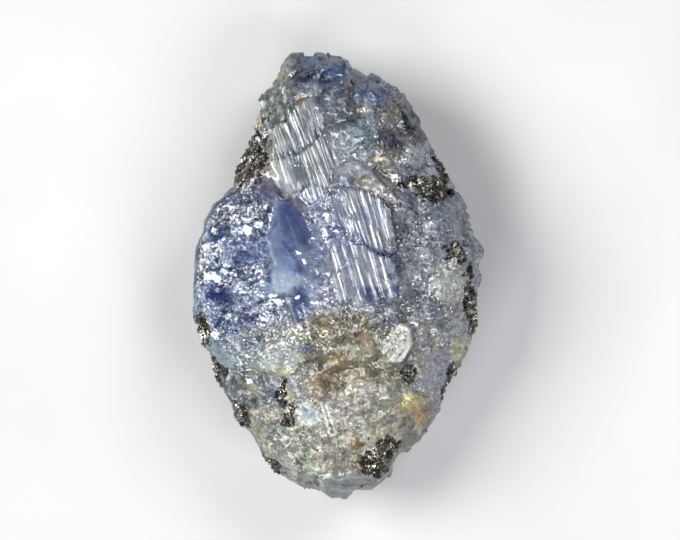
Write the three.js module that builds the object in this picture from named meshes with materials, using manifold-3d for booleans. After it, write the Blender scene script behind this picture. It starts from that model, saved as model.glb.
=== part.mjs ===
// A rough tanzanite (blue zoisite) crystal, with quartz, calcite and graphite grown into it, lying down.
// Millimetres. +Z is up, out of the face that is shown; +Y runs along the crystal towards its narrow end.
// The origin is the middle of the stone's bounding box, on the surface that it rests on.
import * as THREE from "three";
import { mergeVertices } from "three/addons/utils/BufferGeometryUtils.js";
import Module from "manifold-3d";

// ---- driving dimensions ----
const RIM = 7.9; // mean height of the widest line round the stone
const CENTRE = [0.5, -0.22]; // the point that the outline is seen from
const EDGE_RISE = 2.3; // how high the surface climbs in the first millimetre in from the rim
const EDGE_POWER = 0.75; // how soon that climb slackens
const BLEND = 3; // how sharply the broad faces of the upper side meet
const TOP_CELLS = 40; // grid cells across the upper side
const GIRDLE_STEPS = 2; // rows of faces down the broken side
const SIDE_LEAST = 0.8; // least height of the broken side
const UNDERCUT = 0.05; // share of the radius that the side leans in by
const UNDERCUT_WAVE = 0.012; // by how much that share varies round the stone
const FLANK_STEPS = 3; // rows of faces from the side in to the cleavage face
const UNDER_REACH = 0.62; // share of the radius where the flanks end and the underside's grid starts
const LEAN_REACH = 1.2; // how far to each side the slope under a flat face is felt
const FACE_EDGE = 0.4; // half the width over which a flat face runs out into the rough
const LUMPS_TOP = 0.22; // height of the broken surface's small lumps
const LUMPS_UNDER = 0.33; // the same on the underside
const C_AXIS = [0.266, -0.964]; // direction of the crystal's length, which the striae follow

// Broad faces that bound the upper side: a point [x, y, z] of each, and its rise per mm along x and y.
const BROAD_FACES = {
  centre: { at: [2, 3, 17.3], slope: [-0.02, -0.05] },
  blueUpper: { at: [-9.5, 5, 14.0], slope: [0.4, -0.14] },
  blueLower: { at: [-9, -1, 14.2], slope: [0.42, 0.05] },
  upperLeft: { at: [-7, 14, 12.4], slope: [0.45, -0.28] },
  upper: { at: [-3, 14, 14.6], slope: [0.08, -0.3] },
  upperRight: { at: [7, 12, 12.6], slope: [-0.55, -0.42] },
  right: { at: [9, 1, 14.6], slope: [-0.5, -0.1] },
  lowerRight: { at: [8, -9, 13.0], slope: [-0.5, 0.3] },
  lower: { at: [0, -12, 14.8], slope: [0.02, 0.3] },
  lowerLeft: { at: [-7, -11, 13.0], slope: [0.42, 0.36] },
  lowerEnd: { at: [0, -19, 11.5], slope: [0, 0.75] },
  narrowEnd: { at: [-3, 20, 11.2], slope: [0, -0.62] },
};

// The widest line of the stone, seen from above, anticlockwise from the narrow end.
const OUTLINE = [
  [-2.0, 22.45], [-2.5, 22.2], [-2.9, 21.8], [-3.6, 21.8], [-4.3, 22.2], [-5.2, 21.9], [-5.5, 21.5],
  [-5.7, 20.8], [-6.1, 20.2], [-6.1, 19.7], [-6.7, 19.1], [-7.9, 17.7], [-7.9, 16.8], [-8.3, 15.5],
  [-8.2, 14.5], [-9.3, 12.6], [-10.0, 11.0], [-10.5, 9.8], [-10.6, 8.9], [-11.3, 8.4], [-11.7, 7.8],
  [-12.6, 7.2], [-13.0, 6.3], [-13.5, 5.5], [-13.6, 4.4], [-14.1, 3.4], [-14.4, 2.3], [-14.5, 0.5],
  [-14.65, -3.2], [-14.4, -4.4], [-14.0, -5.5], [-13.6, -6.7], [-13.1, -7.6], [-12.3, -9.8],
  [-11.7, -11.2], [-11.2, -12.2], [-10.6, -12.8], [-10.3, -14.0], [-9.9, -14.8], [-9.3, -15.2],
  [-8.7, -15.9], [-7.5, -18.2], [-6.9, -19.0], [-6.2, -19.7], [-5.2, -20.4], [-4.1, -20.9],
  [-1.7, -21.5], [-1.3, -21.8], [-0.7, -22.3], [0.1, -22.3], [0.7, -22.45], [1.1, -22.0], [1.6, -21.5],
  [2.2, -21.5], [2.7, -21.6], [3.3, -21.4], [4.4, -20.6], [4.9, -20.2], [5.6, -18.7], [6.2, -18.1],
  [7.2, -17.5], [8.4, -16.1], [9.5, -14.4], [10.1, -13.3], [10.4, -12.3], [10.7, -11.2], [12.0, -9.2],
  [12.6, -8.3], [13.1, -7.3], [13.65, -5.0], [13.8, -3.5], [13.75, -1.5], [14.1, -0.3], [14.1, 1.1],
  [14.3, 1.9], [14.65, 2.6], [14.0, 3.4], [12.9, 4.6], [12.95, 5.1], [12.65, 5.5], [12.8, 5.9],
  [12.6, 6.3], [12.6, 6.9], [11.8, 8.3], [11.5, 9.1], [10.4, 10.8], [9.3, 12.5], [8.1, 15.2],
  [6.9, 17.5], [6.4, 18.2], [4.5, 19.5], [3.7, 20.1], [3.2, 20.4], [2.8, 20.1], [1.3, 20.8],
  [0.9, 21.4], [0.4, 21.8], [-0.4, 22.0], [-1.4, 22.1],
];

// Cleavage planes that bound the underside: a direction, the distance at which the plane leaves the
// surface the stone rests on, and its rise per millimetre beyond that.
const UNDER_PLANES = [
  { towards: [1, 0], from: 7.5, rise: 0.8 },
  { towards: [-1, 0], from: 7.0, rise: 0.7 },
  { towards: [0.1, 0.995], from: 13.0, rise: 0.6 },
  { towards: [0, -1], from: 13.5, rise: 0.58 },
  { towards: [0.75, 0.66], from: 8.6, rise: 0.75 },
  { towards: [-0.8, 0.6], from: 8.6, rise: 0.75 },
  { towards: [-0.7, -0.71], from: 9.2, rise: 0.7 },
  { towards: [0.72, -0.69], from: 9.0, rise: 0.7 },
];

// Flat faces on the upper side: their corners, how far the plane's middle stands over the broad faces
// there (lift), and how much more it rises per mm along x and y than they do (tilt). A striated face also
// says where its striae start, measured across them from its middle, how far they span, and which is first.
const FACES = {
  upperTier1: {
    corners: [
      [-5.5, 17.6], [-3.9, 17.7], [-2.8, 17.4], [-1.9, 16.0], [-1.2, 14.1], [-2.9, 13.0], [-4.2, 12.2],
      [-5.6, 11.8], [-6.9, 11.7], [-7.6, 14.0], [-7.0, 15.8],
    ],
    lift: 0.25,
    tilt: [0.03, -0.07],
    striae: { start: -4.6, span: 5.9, first: 0 },
  },
  upperTier2: {
    corners: [
      [-6.9, 11.6], [-5.6, 11.7], [-4.2, 12.1], [-2.9, 12.9], [-1.2, 14.0], [-0.5, 13.5], [0.2, 11.7],
      [0.1, 10.6], [-0.7, 10.3], [-0.8, 8.5], [-2.0, 9.0], [-3.6, 8.6], [-4.3, 7.9], [-5.3, 7.9],
      [-6.1, 9.5],
    ],
    lift: 0.3,
    tilt: [0.03, -0.08],
    striae: { start: -4.4, span: 6.6, first: 5 },
  },
  upperTier3: {
    corners: [
      [-3.6, 8.5], [-2.0, 8.9], [-0.8, 8.4], [-1.9, 7.5], [-2.9, 7.3], [-3.5, 7.8],
    ],
    lift: 0.1,
    tilt: [0.03, -0.1],
    striae: { start: -2.0, span: 2.9, first: 2 },
  },
  cap: {
    corners: [
      [-0.6, 8.9], [0.1, 10.5], [1.1, 11.2], [2.4, 11.2], [3.6, 10.4], [5.4, 9.0], [7.2, 6.7],
      [5.4, 7.0], [4.1, 7.8], [2.3, 8.6], [1.3, 8.5], [0.1, 8.5],
    ],
    lift: 0.3,
    tilt: [-0.05, -0.1],
  },
  centreTier1: {
    corners: [
      [-0.1, 8.4], [1.3, 8.4], [2.4, 8.5], [4.1, 7.7], [4.9, 6.5], [5.3, 4.5], [5.7, 2.5],
      [5.1, 2.2], [3.9, 2.5], [2.6, 3.3], [1.3, 3.9], [0.2, 4.7], [-0.4, 6.0], [-0.6, 7.5],
    ],
    lift: 0.25,
    tilt: [0, -0.08],
    striae: { start: -1.9, span: 6.4, first: 9 },
  },
  centreTier2: {
    corners: [
      [-0.7, 3.2], [0.6, 3.2], [2.1, 3.1], [3.3, 2.5], [4.6, 1.7], [5.6, 1.3], [5.7, -0.5],
      [5.6, -2.2], [4.1, -2.5], [2.7, -2.8], [1.1, -2.5], [-0.1, -2.3], [-0.6, -0.5], [-0.9, 1.3],
    ],
    lift: 0.3,
    tilt: [0, -0.07],
    striae: { start: -1.6, span: 6.3, first: 3 },
  },
  blueFacet: {
    corners: [
      [-6.3, 7.3], [-4.9, 7.5], [-3.9, 6.3], [-3.3, 4.5], [-3.1, 2.5], [-3.1, 0.7], [-3.5, -0.3],
      [-4.3, 0.5], [-5.4, 1.7], [-6.1, 2.5], [-6.8, 4.0], [-6.7, 6.0],
    ],
    lift: -0.5,
    tilt: [-0.5, 0.1],
  },
  paleFacet: {
    corners: [
      [-6.7, 1.3], [-5.4, 1.3], [-4.3, 0.4], [-3.6, -0.5], [-4.3, -1.3], [-5.5, -1.6], [-6.7, -1.5],
      [-7.1, -0.5],
    ],
    lift: -0.1,
    tilt: [-0.3, 0.2],
  },
  whitePlate: {
    corners: [
      [5.0, -5.2], [6.0, -4.7], [7.0, -5.3], [7.2, -6.5], [6.7, -7.7], [6.1, -8.4], [5.2, -8.4],
      [4.7, -8.7], [4.2, -7.0], [4.6, -6.0],
    ],
    lift: 0.15,
    tilt: [0.3, -0.1],
  },
  paleWedge: {
    corners: [
      [-8.3, -7.7], [-6.7, -6.7], [-4.9, -6.8], [-4.1, -7.7], [-4.7, -9.0], [-6.4, -9.3], [-7.7, -9.1],
    ],
    lift: 0.1,
    tilt: [-0.1, -0.12],
  },
  tipLedge: {
    corners: [
      [-2.1, -20.3], [-0.9, -19.7], [1.1, -19.8], [3.6, -19.9], [4.6, -20.5], [3.9, -21.3], [2.7, -21.8],
      [1.3, -21.8], [0.8, -22.6], [-0.7, -22.6], [-1.7, -21.7],
    ],
    lift: -0.1,
    tilt: [0.05, -0.3],
  },
  beigeWedge: {
    corners: [
      [3.1, 11.5], [4.6, 12.3], [6.1, 12.5], [6.3, 10.5], [6.6, 9.0], [7.6, 7.0], [5.6, 8.5],
      [4.1, 10.0],
    ],
    lift: 0.3,
    tilt: [0.2, 0.1],
  },
};

// Rounded crystals and nodules that stand proud of the upper side: centre, half-sizes, height.
const BOSSES = [
  { at: [-0.9, 20.8], half: [2.6, 1.3], height: 0.9 }, // blue knob of the narrow end
  { at: [-4.9, 20.9], half: [1.1, 1.2], height: 0.7 }, // pale tip
  { at: [3.9, 18.4], half: [2.4, 1.7], height: 0.9 }, // shoulder
  { at: [1.9, 14.0], half: [1.8, 1.5], height: 0.7 }, // rounded crystal
  { at: [7.6, 11.8], half: [1.5, 1.3], height: 0.8 },
  { at: [-10.2, 6.2], half: [3.0, 1.8], height: 0.7 },
  { at: [-9.8, 2.6], half: [3.2, 1.9], height: 0.9 },
  { at: [-9.2, -1.6], half: [3.2, 1.7], height: 0.8 },
  { at: [-9.6, -5.2], half: [3.0, 1.6], height: 0.8 },
  { at: [10.7, 5.0], half: [2.0, 2.3], height: 1.1 }, // knob over the spur
  { at: [10.7, -1.3], half: [1.8, 1.8], height: 0.8 }, // round calcite
  { at: [-2.7, -14.0], half: [1.3, 1.2], height: 0.6 }, // pale nodule
  { at: [7.4, -12.6], half: [1.3, 1.1], height: 0.6 }, // yellow calcite
  { at: [11.8, -7.4], half: [1.0, 1.5], height: 0.5 },
  { at: [-4.8, -17.2], half: [2.4, 1.6], height: 0.6 },
  { at: [0.2, -17.4], half: [1.6, 1.3], height: 0.5 },
  { at: [-8.8, -10.6], half: [1.6, 1.2], height: 0.6 },
  { at: [4.4, -11.6], half: [1.4, 1.2], height: 0.4 },
];

// Hollows in the upper side, in the same form.
const HOLLOWS = [
  { at: [-11.6, -2.0], half: [1.3, 0.8], height: -0.7 },
  { at: [-3.0, 3.0], half: [0.9, 4.2], height: -0.8 }, // valley under the blue facet
  { at: [1.9, 16.6], half: [1.4, 2.6], height: -0.6 },
  { at: [8.6, 14.4], half: [1.2, 1.8], height: -0.4 },
  { at: [-0.5, -10.5], half: [3.6, 2.4], height: -0.5 },
  { at: [-2.4, -8.4], half: [1.3, 1.2], height: -0.5 },
  { at: [5.9, 14.3], half: [1.6, 0.8], height: -0.5 },
  { at: [-8.0, -12.2], half: [2.0, 0.7], height: -0.4 },
];

// Patches of graphite: centre, half-sizes, turn in degrees and the number of scales.
const GRAPHITE = [
  { at: [-9.0, 11.8], half: [0.9, 3.0], turn: -24, scales: 12 },
  { at: [9.4, 8.8], half: [2.1, 1.0], turn: -12, scales: 12 },
  { at: [13.0, -0.8], half: [0.4, 2.6], turn: 6, scales: 8 },
  { at: [11.4, 2.3], half: [0.8, 0.6], turn: -40, scales: 4 },
  { at: [4.7, -17.9], half: [1.0, 1.9], turn: 10, scales: 9 },
  { at: [-5.2, -12.9], half: [0.6, 1.9], turn: 12, scales: 7 },
  { at: [-9.8, -13.8], half: [0.5, 1.2], turn: 30, scales: 4 },
  { at: [-13.2, -7.2], half: [0.5, 3.2], turn: 22, scales: 9 },
  { at: [6.7, -10.0], half: [0.5, 0.8], turn: 0, scales: 3 },
];
const SCALE_RADIUS = [0.45, 0.75]; // of one graphite scale
const SCALE_THICKNESS = 0.4;
const SPIRAL = 2.4; // radians from one scale of a patch to the next
const SCALE_OUTMOST = 0.95; // share of the outline's radius that no scale's middle passes
const SCALE_LEAN = 0.5;

// The striae: their widths in turn, from a face's first one on, and the rise of the wide side of each.
const STRIA_WIDTHS = [0.6, 0.35, 0.8, 0.3, 0.5, 0.95, 0.4, 0.7, 0.3, 0.9, 0.45, 0.6, 0.35, 0.75, 0.5];
const STRIA_RISE = 0.3;
const STRIA_FALL_SHARE = 0.35; // share of each stria's width that falls back
const STRIA_BED = 0.3; // how far the body lies below the striae that are laid on it
const STRIA_BAR_DEPTH = 3; // how far the ridged bars reach down into the body
const STRIA_BAR_LENGTH = 28; // longer than any striated face

// ---- small mathematics ----
const clamp = (v, low, high) => Math.min(high, Math.max(low, v));
const smooth = (low, high, v) => {
  const t = clamp((v - low) / (high - low), 0, 1);
  return t * t * (3 - 2 * t);
};
const mean = (numbers) => numbers.reduce((sum, v) => sum + v, 0) / numbers.length;

// A repeatable run of numbers from 0 to 1.
function dice(seed) {
  let state = seed;
  return () => {
    state = (state * 1664525 + 1013904223) % 4294967296;
    return state / 4294967296;
  };
}

// Distance from a point to the edge of a polygon, positive inside it.
function depthInside(x, y, corners) {
  let inside = false;
  let nearest = Infinity;
  corners.forEach(([ax, ay], i) => {
    const [bx, by] = corners[(i + 1) % corners.length];
    const [ex, ey] = [bx - ax, by - ay];
    const along = clamp(((x - ax) * ex + (y - ay) * ey) / (ex * ex + ey * ey), 0, 1);
    nearest = Math.min(nearest, Math.hypot(x - ax - along * ex, y - ay - along * ey));
    if (ay > y !== by > y && x < (ex * (y - ay)) / ey + ax) inside = !inside;
  });
  return inside ? nearest : -nearest;
}

// ---- the stone's form ----
// How far the outline lies from CENTRE in one direction.
function outlineRadius(angle) {
  const [dx, dy] = [Math.cos(angle), Math.sin(angle)];
  let radius = 0;
  OUTLINE.forEach(([ax, ay], i) => {
    const [bx, by] = OUTLINE[(i + 1) % OUTLINE.length];
    const [px, py, ex, ey] = [ax - CENTRE[0], ay - CENTRE[1], bx - ax, by - ay];
    const cross = dx * ey - dy * ex;
    if (Math.abs(cross) < 1e-9) return;
    const distance = (px * ey - py * ex) / cross;
    const share = (px * dy - py * dx) / cross;
    if (share >= 0 && share <= 1 && distance > radius) radius = distance;
  });
  return radius;
}

// The place at a direction from CENTRE and a share of the way to the outline, and the reverse.
function placeAt(angle, share) {
  const reach = share * outlineRadius(angle);
  return [CENTRE[0] + reach * Math.cos(angle), CENTRE[1] + reach * Math.sin(angle)];
}

function reachOf(x, y) {
  const [dx, dy] = [x - CENTRE[0], y - CENTRE[1]];
  const angle = Math.atan2(dy, dx);
  return [angle, Math.hypot(dx, dy) / outlineRadius(angle)];
}

// Height of the widest line: it dips and rises a little on its way round.
function rimHeight(angle) {
  return RIM + 0.9 * Math.sin(2 * angle + 0.6) + 0.4 * Math.sin(3 * angle + 2) + 0.25 * Math.sin(7 * angle);
}

// Small lumps of a broken surface, from -1.7 to 1.7 times their height.
function lumps(x, y, height) {
  const coarse = Math.sin(1.1 * x + 0.7 * y + 1.3) * Math.sin(0.8 * y - 0.9 * x + 0.4);
  const fine = Math.sin(2.3 * x - 1.2 * y) * Math.sin(2.6 * y + 1.1 * x + 2.1);
  return height * (coarse + 0.7 * fine);
}

function planeHeight({ at, slope }, x, y) {
  return at[2] + slope[0] * (x - at[0]) + slope[1] * (y - at[1]);
}

// The upper side without its small features: the lowest of the broad faces and of the climb from the rim.
function broadHeight(x, y) {
  const [angle, share] = reachOf(x, y);
  const rim = rimHeight(angle);
  const inward = Math.max(0, 1 - share) * outlineRadius(angle);
  const planes = Object.values(BROAD_FACES).map((plane) => planeHeight(plane, x, y));
  planes.push(rim + EDGE_RISE * inward ** EDGE_POWER);
  const lowest = Math.min(...planes);
  const crowd = planes.reduce((sum, z) => sum + Math.exp(-BLEND * (z - lowest)), 0);
  return inward > 0 ? Math.max(rim, lowest - Math.log(crowd) / BLEND) : rim;
}

// The plane of a flat face, leaned on the broad faces at its middle.
function facePlane(face) {
  const x = mean(face.corners.map((corner) => corner[0]));
  const y = mean(face.corners.map((corner) => corner[1]));
  const slope = [
    (broadHeight(x + LEAN_REACH, y) - broadHeight(x - LEAN_REACH, y)) / (2 * LEAN_REACH) + face.tilt[0],
    (broadHeight(x, y + LEAN_REACH) - broadHeight(x, y - LEAN_REACH)) / (2 * LEAN_REACH) + face.tilt[1],
  ];
  return { ...face, slope, at: [x, y, broadHeight(x, y) + face.lift] };
}

const FACE_PLANES = Object.values(FACES).map(facePlane);

// Height of the upper side at a place.
function topHeight(x, y) {
  const [angle, share] = reachOf(x, y);
  const inner = smooth(0, 1.5, (1 - share) * outlineRadius(angle));
  let z = broadHeight(x, y) + lumps(x, y, LUMPS_TOP) * inner;
  [...BOSSES, ...HOLLOWS].forEach(({ at, half, height }) => {
    const away = Math.hypot((x - at[0]) / half[0], (y - at[1]) / half[1]);
    z += height * (1 - smooth(0.25, 1.15, away)) * smooth(0, 1, 0.35 + inner);
  });
  FACE_PLANES.forEach((face) => {
    const depth = depthInside(x, y, face.corners);
    z += (planeHeight(face, x, y) - z) * smooth(-FACE_EDGE, FACE_EDGE, depth);
    if (face.striae) z -= STRIA_BED * smooth(0, 0.5, depth);
  });
  return z;
}

// Height of the underside: the highest of the cleavage planes, and never below the flat face.
function underHeight(x, y) {
  const planes = UNDER_PLANES.map(({ towards: [tx, ty], from, rise }) => rise * (x * tx + y * ty - from));
  const height = Math.max(0, ...planes);
  return height + lumps(x, y, LUMPS_UNDER) * smooth(0.5, 2, height);
}

// ---- the skin ----
// A square grid laid evenly over a disc: the angle and the radius of grid point (i, j) of n cells.
function discPoint(i, j, n) {
  const [a, b] = [(2 * i) / n - 1, (2 * j) / n - 1];
  if (a === 0 && b === 0) return [0, 0];
  if (Math.abs(a) > Math.abs(b)) return [(a > 0 ? 0 : Math.PI) + ((Math.PI / 4) * b) / a, Math.abs(a)];
  return [(b > 0 ? Math.PI / 2 : -Math.PI / 2) - ((Math.PI / 4) * a) / b, Math.abs(b)];
}

// The border of a grid of n by n cells, anticlockwise, as grid points.
function border(n) {
  const side = [...Array(n).keys()];
  return [
    ...side.map((k) => [n, k]),
    ...side.map((k) => [n - k, n]),
    ...side.map((k) => [0, n - k]),
    ...side.map((k) => [k, 0]),
  ];
}

// A closed skin that is built up from grids and rings of points round the stone.
class Skin {
  points = [];
  faces = [];

  addPoint(angle, share, height) {
    const [x, y] = placeAt(angle, share);
    this.points.push(x, y, height(x, y, angle));
    return this.points.length / 3 - 1;
  }

  addQuad(a, b, c, d) {
    this.faces.push(a, b, c, a, c, d);
  }

  addRing(directions, share, height) {
    return directions.map((angle) => this.addPoint(angle, share(angle), height));
  }

  // A grid that reaches out to a share of the radius. Its border is returned as a ring.
  addGrid(cells, reach, height, facesUp) {
    const rows = [...Array(cells + 1).keys()].map((i) =>
      [...Array(cells + 1).keys()].map((j) => {
        const [angle, radius] = discPoint(i, j, cells);
        return this.addPoint(angle, radius * reach, height);
      }),
    );
    for (let i = 0; i < cells; i++) {
      for (let j = 0; j < cells; j++) {
        const cell = [rows[i][j], rows[i + 1][j], rows[i + 1][j + 1], rows[i][j + 1]];
        this.addQuad(...(facesUp ? cell : cell.reverse()));
      }
    }
    return border(cells).map(([i, j]) => rows[i][j]);
  }

  // Joins a ring to the next one down, which has as many points or half as many.
  joinRings(upper, lower) {
    const step = upper.length / lower.length;
    lower.forEach((low, k) => {
      const lowNext = lower[(k + 1) % lower.length];
      const [high, highNext] = [upper[k * step], upper[(k * step + step) % upper.length]];
      if (step === 1) {
        this.addQuad(high, low, lowNext, highNext);
      } else {
        const middle = upper[k * step + 1];
        this.faces.push(high, low, middle, middle, low, lowNext, middle, lowNext, highNext);
      }
    });
  }

  geometry() {
    const geometry = new THREE.BufferGeometry();
    geometry.setAttribute("position", new THREE.Float32BufferAttribute(this.points, 3));
    geometry.setIndex(this.faces);
    return geometry;
  }
}

// The broken side leans in under the rim, down to where the underside's planes begin.
const sideShare = (angle, down) => 1 - down * (UNDERCUT + UNDERCUT_WAVE * Math.sin(9 * angle));

function sideHeight(x, y, angle, down) {
  const rim = rimHeight(angle);
  const foot = Math.min(rim - SIDE_LEAST, underHeight(x, y));
  return rim + (foot - rim) * down;
}

function bodyGeometry() {
  const skin = new Skin();
  const directions = border(TOP_CELLS).map(([i, j]) => discPoint(i, j, TOP_CELLS)[0]);
  const everyOther = directions.filter((_, k) => k % 2 === 0);
  const rings = [skin.addGrid(TOP_CELLS, 1, topHeight, true)];
  for (let step = 1; step <= GIRDLE_STEPS; step++) {
    const down = step / GIRDLE_STEPS;
    const height = (x, y, angle) => sideHeight(x, y, angle, down);
    rings.push(skin.addRing(directions, (angle) => sideShare(angle, down), height));
  }
  for (let step = 1; step < FLANK_STEPS; step++) {
    const inward = step / FLANK_STEPS;
    const share = (angle) => sideShare(angle, 1) * (1 - inward) + UNDER_REACH * inward;
    rings.push(skin.addRing(everyOther, share, underHeight));
  }
  // The underside's grid has half as many cells, so its border meets the last ring point for point.
  rings.push(skin.addGrid(TOP_CELLS / 2, UNDER_REACH, underHeight, false));
  rings.slice(1).forEach((lower, k) => skin.joinRings(rings[k], lower));
  return skin.geometry();
}

// ---- crisp forms that are joined to the body ----
const wasm = await Module();
wasm.setup();

function solid(geometry) {
  const bare = geometry.clone();
  bare.deleteAttribute("normal");
  bare.deleteAttribute("uv");
  const merged = mergeVertices(bare, 1e-4);
  return new wasm.Manifold(
    new wasm.Mesh({
      numProp: 3,
      vertProperties: new Float32Array(merged.attributes.position.array),
      triVerts: new Uint32Array(merged.index.array),
    }),
  );
}

function geometryOf(manifold) {
  const mesh = manifold.getMesh();
  const geometry = new THREE.BufferGeometry();
  geometry.setAttribute("position", new THREE.BufferAttribute(mesh.vertProperties, 3));
  geometry.setIndex(new THREE.BufferAttribute(mesh.triVerts, 1));
  return geometry;
}

// The cross-section of a face's striae: u runs across them, and the face's plane is at height 0.
function striaeProfile({ start, span, first }) {
  const profile = new THREE.Shape();
  profile.moveTo(start, -STRIA_BAR_DEPTH);
  profile.lineTo(start, 0);
  let u = start;
  for (let k = first; u < start + span; k++) {
    const width = STRIA_WIDTHS[k % STRIA_WIDTHS.length];
    const climb = width * (1 - STRIA_FALL_SHARE);
    profile.lineTo(u + climb, STRIA_RISE * climb);
    u += width;
    profile.lineTo(u, 0);
  }
  profile.lineTo(u, -STRIA_BAR_DEPTH);
  return profile;
}

// One striated face: a ridged bar along the crystal's length, trimmed to the face's corners.
function striatedSolid({ corners, striae, at, slope }) {
  const barSize = { depth: STRIA_BAR_LENGTH, bevelEnabled: false };
  const bar = new THREE.ExtrudeGeometry(striaeProfile(striae), barSize);
  bar.translate(0, 0, -STRIA_BAR_LENGTH / 2);
  const onPlane = (dx, dy) => new THREE.Vector3(dx, dy, slope[0] * dx + slope[1] * dy);
  const upright = new THREE.Vector3(0, 0, 1);
  const axes = new THREE.Matrix4().makeBasis(onPlane(-C_AXIS[1], C_AXIS[0]), upright, onPlane(...C_AXIS));
  bar.applyMatrix4(axes.setPosition(...at));

  const edge = new THREE.Shape(corners.map(([x, y]) => new THREE.Vector2(x, y)));
  const trim = new THREE.ExtrudeGeometry(edge, { depth: 2 * RIM, bevelEnabled: false });
  trim.translate(0, 0, RIM);
  return solid(bar).intersect(solid(trim));
}

// A thin six-sided scale of graphite that lies on the surface, tipped a little and half sunk.
function graphiteScale(x, y, roll) {
  const [angle, share] = reachOf(x, y);
  const [px, py] = placeAt(angle, Math.min(share, SCALE_OUTMOST));
  const step = SCALE_RADIUS[0];
  const normal = new THREE.Vector3(
    (topHeight(px - step, py) - topHeight(px + step, py)) / (2 * step) + SCALE_LEAN * (roll() - 0.5),
    (topHeight(px, py - step) - topHeight(px, py + step)) / (2 * step) + SCALE_LEAN * (roll() - 0.5),
    1,
  ).normalize();
  const radius = SCALE_RADIUS[0] + (SCALE_RADIUS[1] - SCALE_RADIUS[0]) * roll();
  const scale = new THREE.CylinderGeometry(radius, radius, SCALE_THICKNESS, 6);
  scale.rotateY(2 * Math.PI * roll());
  scale.applyQuaternion(new THREE.Quaternion().setFromUnitVectors(new THREE.Vector3(0, 1, 0), normal));
  scale.translate(px, py, topHeight(px, py));
  return scale;
}

// A patch's scales are spread over its ellipse along a spiral.
function graphitePatch({ at, half, turn, scales }, roll) {
  const tilt = THREE.MathUtils.degToRad(turn);
  return [...Array(scales).keys()].map((k) => {
    const reach = Math.sqrt((k + 0.5) / scales);
    const spread = new THREE.Vector2(half[0] * Math.cos(SPIRAL * k), half[1] * Math.sin(SPIRAL * k));
    spread.multiplyScalar(reach).rotateAround(new THREE.Vector2(), tilt);
    return solid(graphiteScale(at[0] + spread.x, at[1] + spread.y, roll));
  });
}

function crystalGeometry() {
  const roll = dice(7);
  const striated = FACE_PLANES.filter((face) => face.striae).map(striatedSolid);
  const graphite = GRAPHITE.flatMap((patch) => graphitePatch(patch, roll));
  const stone = [...striated, ...graphite].reduce((joined, form) => joined.add(form), solid(bodyGeometry()));
  // The stone itself is the largest part: the rest are specks of space shut in under the striae.
  const [largest] = stone.decompose().sort((a, b) => b.volume() - a.volume());
  return geometryOf(largest);
}

const zoisite = new THREE.MeshStandardMaterial({ color: 0x8792ab, roughness: 0.3, metalness: 0 });
const crystal = new THREE.Mesh(crystalGeometry(), zoisite);
crystal.name = "tanzanite_crystal";

const specimen = new THREE.Group();
specimen.add(crystal);
export default specimen;
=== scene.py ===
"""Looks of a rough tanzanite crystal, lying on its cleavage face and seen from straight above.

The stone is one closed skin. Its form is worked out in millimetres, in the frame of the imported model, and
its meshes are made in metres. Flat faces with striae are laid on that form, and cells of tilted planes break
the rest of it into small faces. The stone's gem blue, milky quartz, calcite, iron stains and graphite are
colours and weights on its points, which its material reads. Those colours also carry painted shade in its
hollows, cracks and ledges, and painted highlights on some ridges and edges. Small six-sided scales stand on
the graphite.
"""
import math

import bpy
import numpy as np
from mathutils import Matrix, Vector
from mathutils.bvhtree import BVHTree


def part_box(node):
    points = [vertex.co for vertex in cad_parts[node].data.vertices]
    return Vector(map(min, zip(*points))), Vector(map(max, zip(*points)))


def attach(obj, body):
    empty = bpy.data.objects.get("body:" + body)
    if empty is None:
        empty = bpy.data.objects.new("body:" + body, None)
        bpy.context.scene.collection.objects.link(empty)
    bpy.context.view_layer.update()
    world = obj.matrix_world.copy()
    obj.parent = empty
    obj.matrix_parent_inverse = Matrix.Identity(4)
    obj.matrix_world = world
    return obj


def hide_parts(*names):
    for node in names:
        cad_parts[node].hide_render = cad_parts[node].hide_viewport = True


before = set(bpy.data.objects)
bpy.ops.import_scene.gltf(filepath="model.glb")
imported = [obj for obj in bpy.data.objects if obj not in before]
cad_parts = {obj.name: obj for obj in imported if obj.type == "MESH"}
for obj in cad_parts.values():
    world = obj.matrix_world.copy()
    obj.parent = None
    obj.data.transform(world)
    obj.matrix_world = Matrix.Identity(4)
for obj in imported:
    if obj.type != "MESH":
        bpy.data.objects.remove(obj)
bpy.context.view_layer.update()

MM = 0.001

# ---- the stone's form, in millimetres ----
RIM = 7.9  # mean height of the widest line round the stone
RIM_WAVES = [(0.9, 2, 0.6), (0.4, 3, 2), (0.25, 7, 0)]  # how that line waves: height, count, turn
CENTRE = (0.5, -0.22)  # the point that the outline is seen from
EDGE_RISE = 2.3  # height over the rim, one millimetre in from it
EDGE_POWER = 0.75  # below 1, the edge is steepest at the rim
BLEND = 3.0  # how sharply the broad slopes meet
LUMPS_TOP = 0.22  # height of the low swells on the upper side
LUMPS_UNDER = 0.33  # height of those on the slopes of the underside
UNDERCUT = 0.05  # share of the radius by which the side draws in under the rim
UNDERCUT_WAVE = 0.012  # how much that share varies round the stone
UNDERCUT_COUNT = 9  # how many times it does so
SIDE_LEAST = 0.8  # least height of the side
UNDER_REACH = 0.62  # share of the radius that the underside's own grid takes up
C_AXIS = (0.31, -0.95)  # direction of the crystal's length, which the striae follow
ACROSS = (0.95, 0.31)  # direction across the striae
CLEAVAGE = (0.395, -0.084)  # slope that the cleavage faces of the blue block share
CLEAVAGE_STEP = 0.1  # how far those faces step up and down
CLEAVAGE_SIZE = 1.3  # mean width of one of them
CLEAVAGE_STRETCH = (1.5, 0.85, 1)  # how those faces are drawn out along each axis
MOST_STEP = 0.3  # how far a cleavage face may stand from the stone's form
TIGHT, LOOSE = 0.17, 0.22  # how far the slopes of these faces stray, in the bright fields and elsewhere
FACET_SLOPE = (0.03, 0.0)  # slope of the deep blue facet's fine surface
TURNED = (-0.38, 0.1)  # how the slopes outside the bright fields differ

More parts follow.
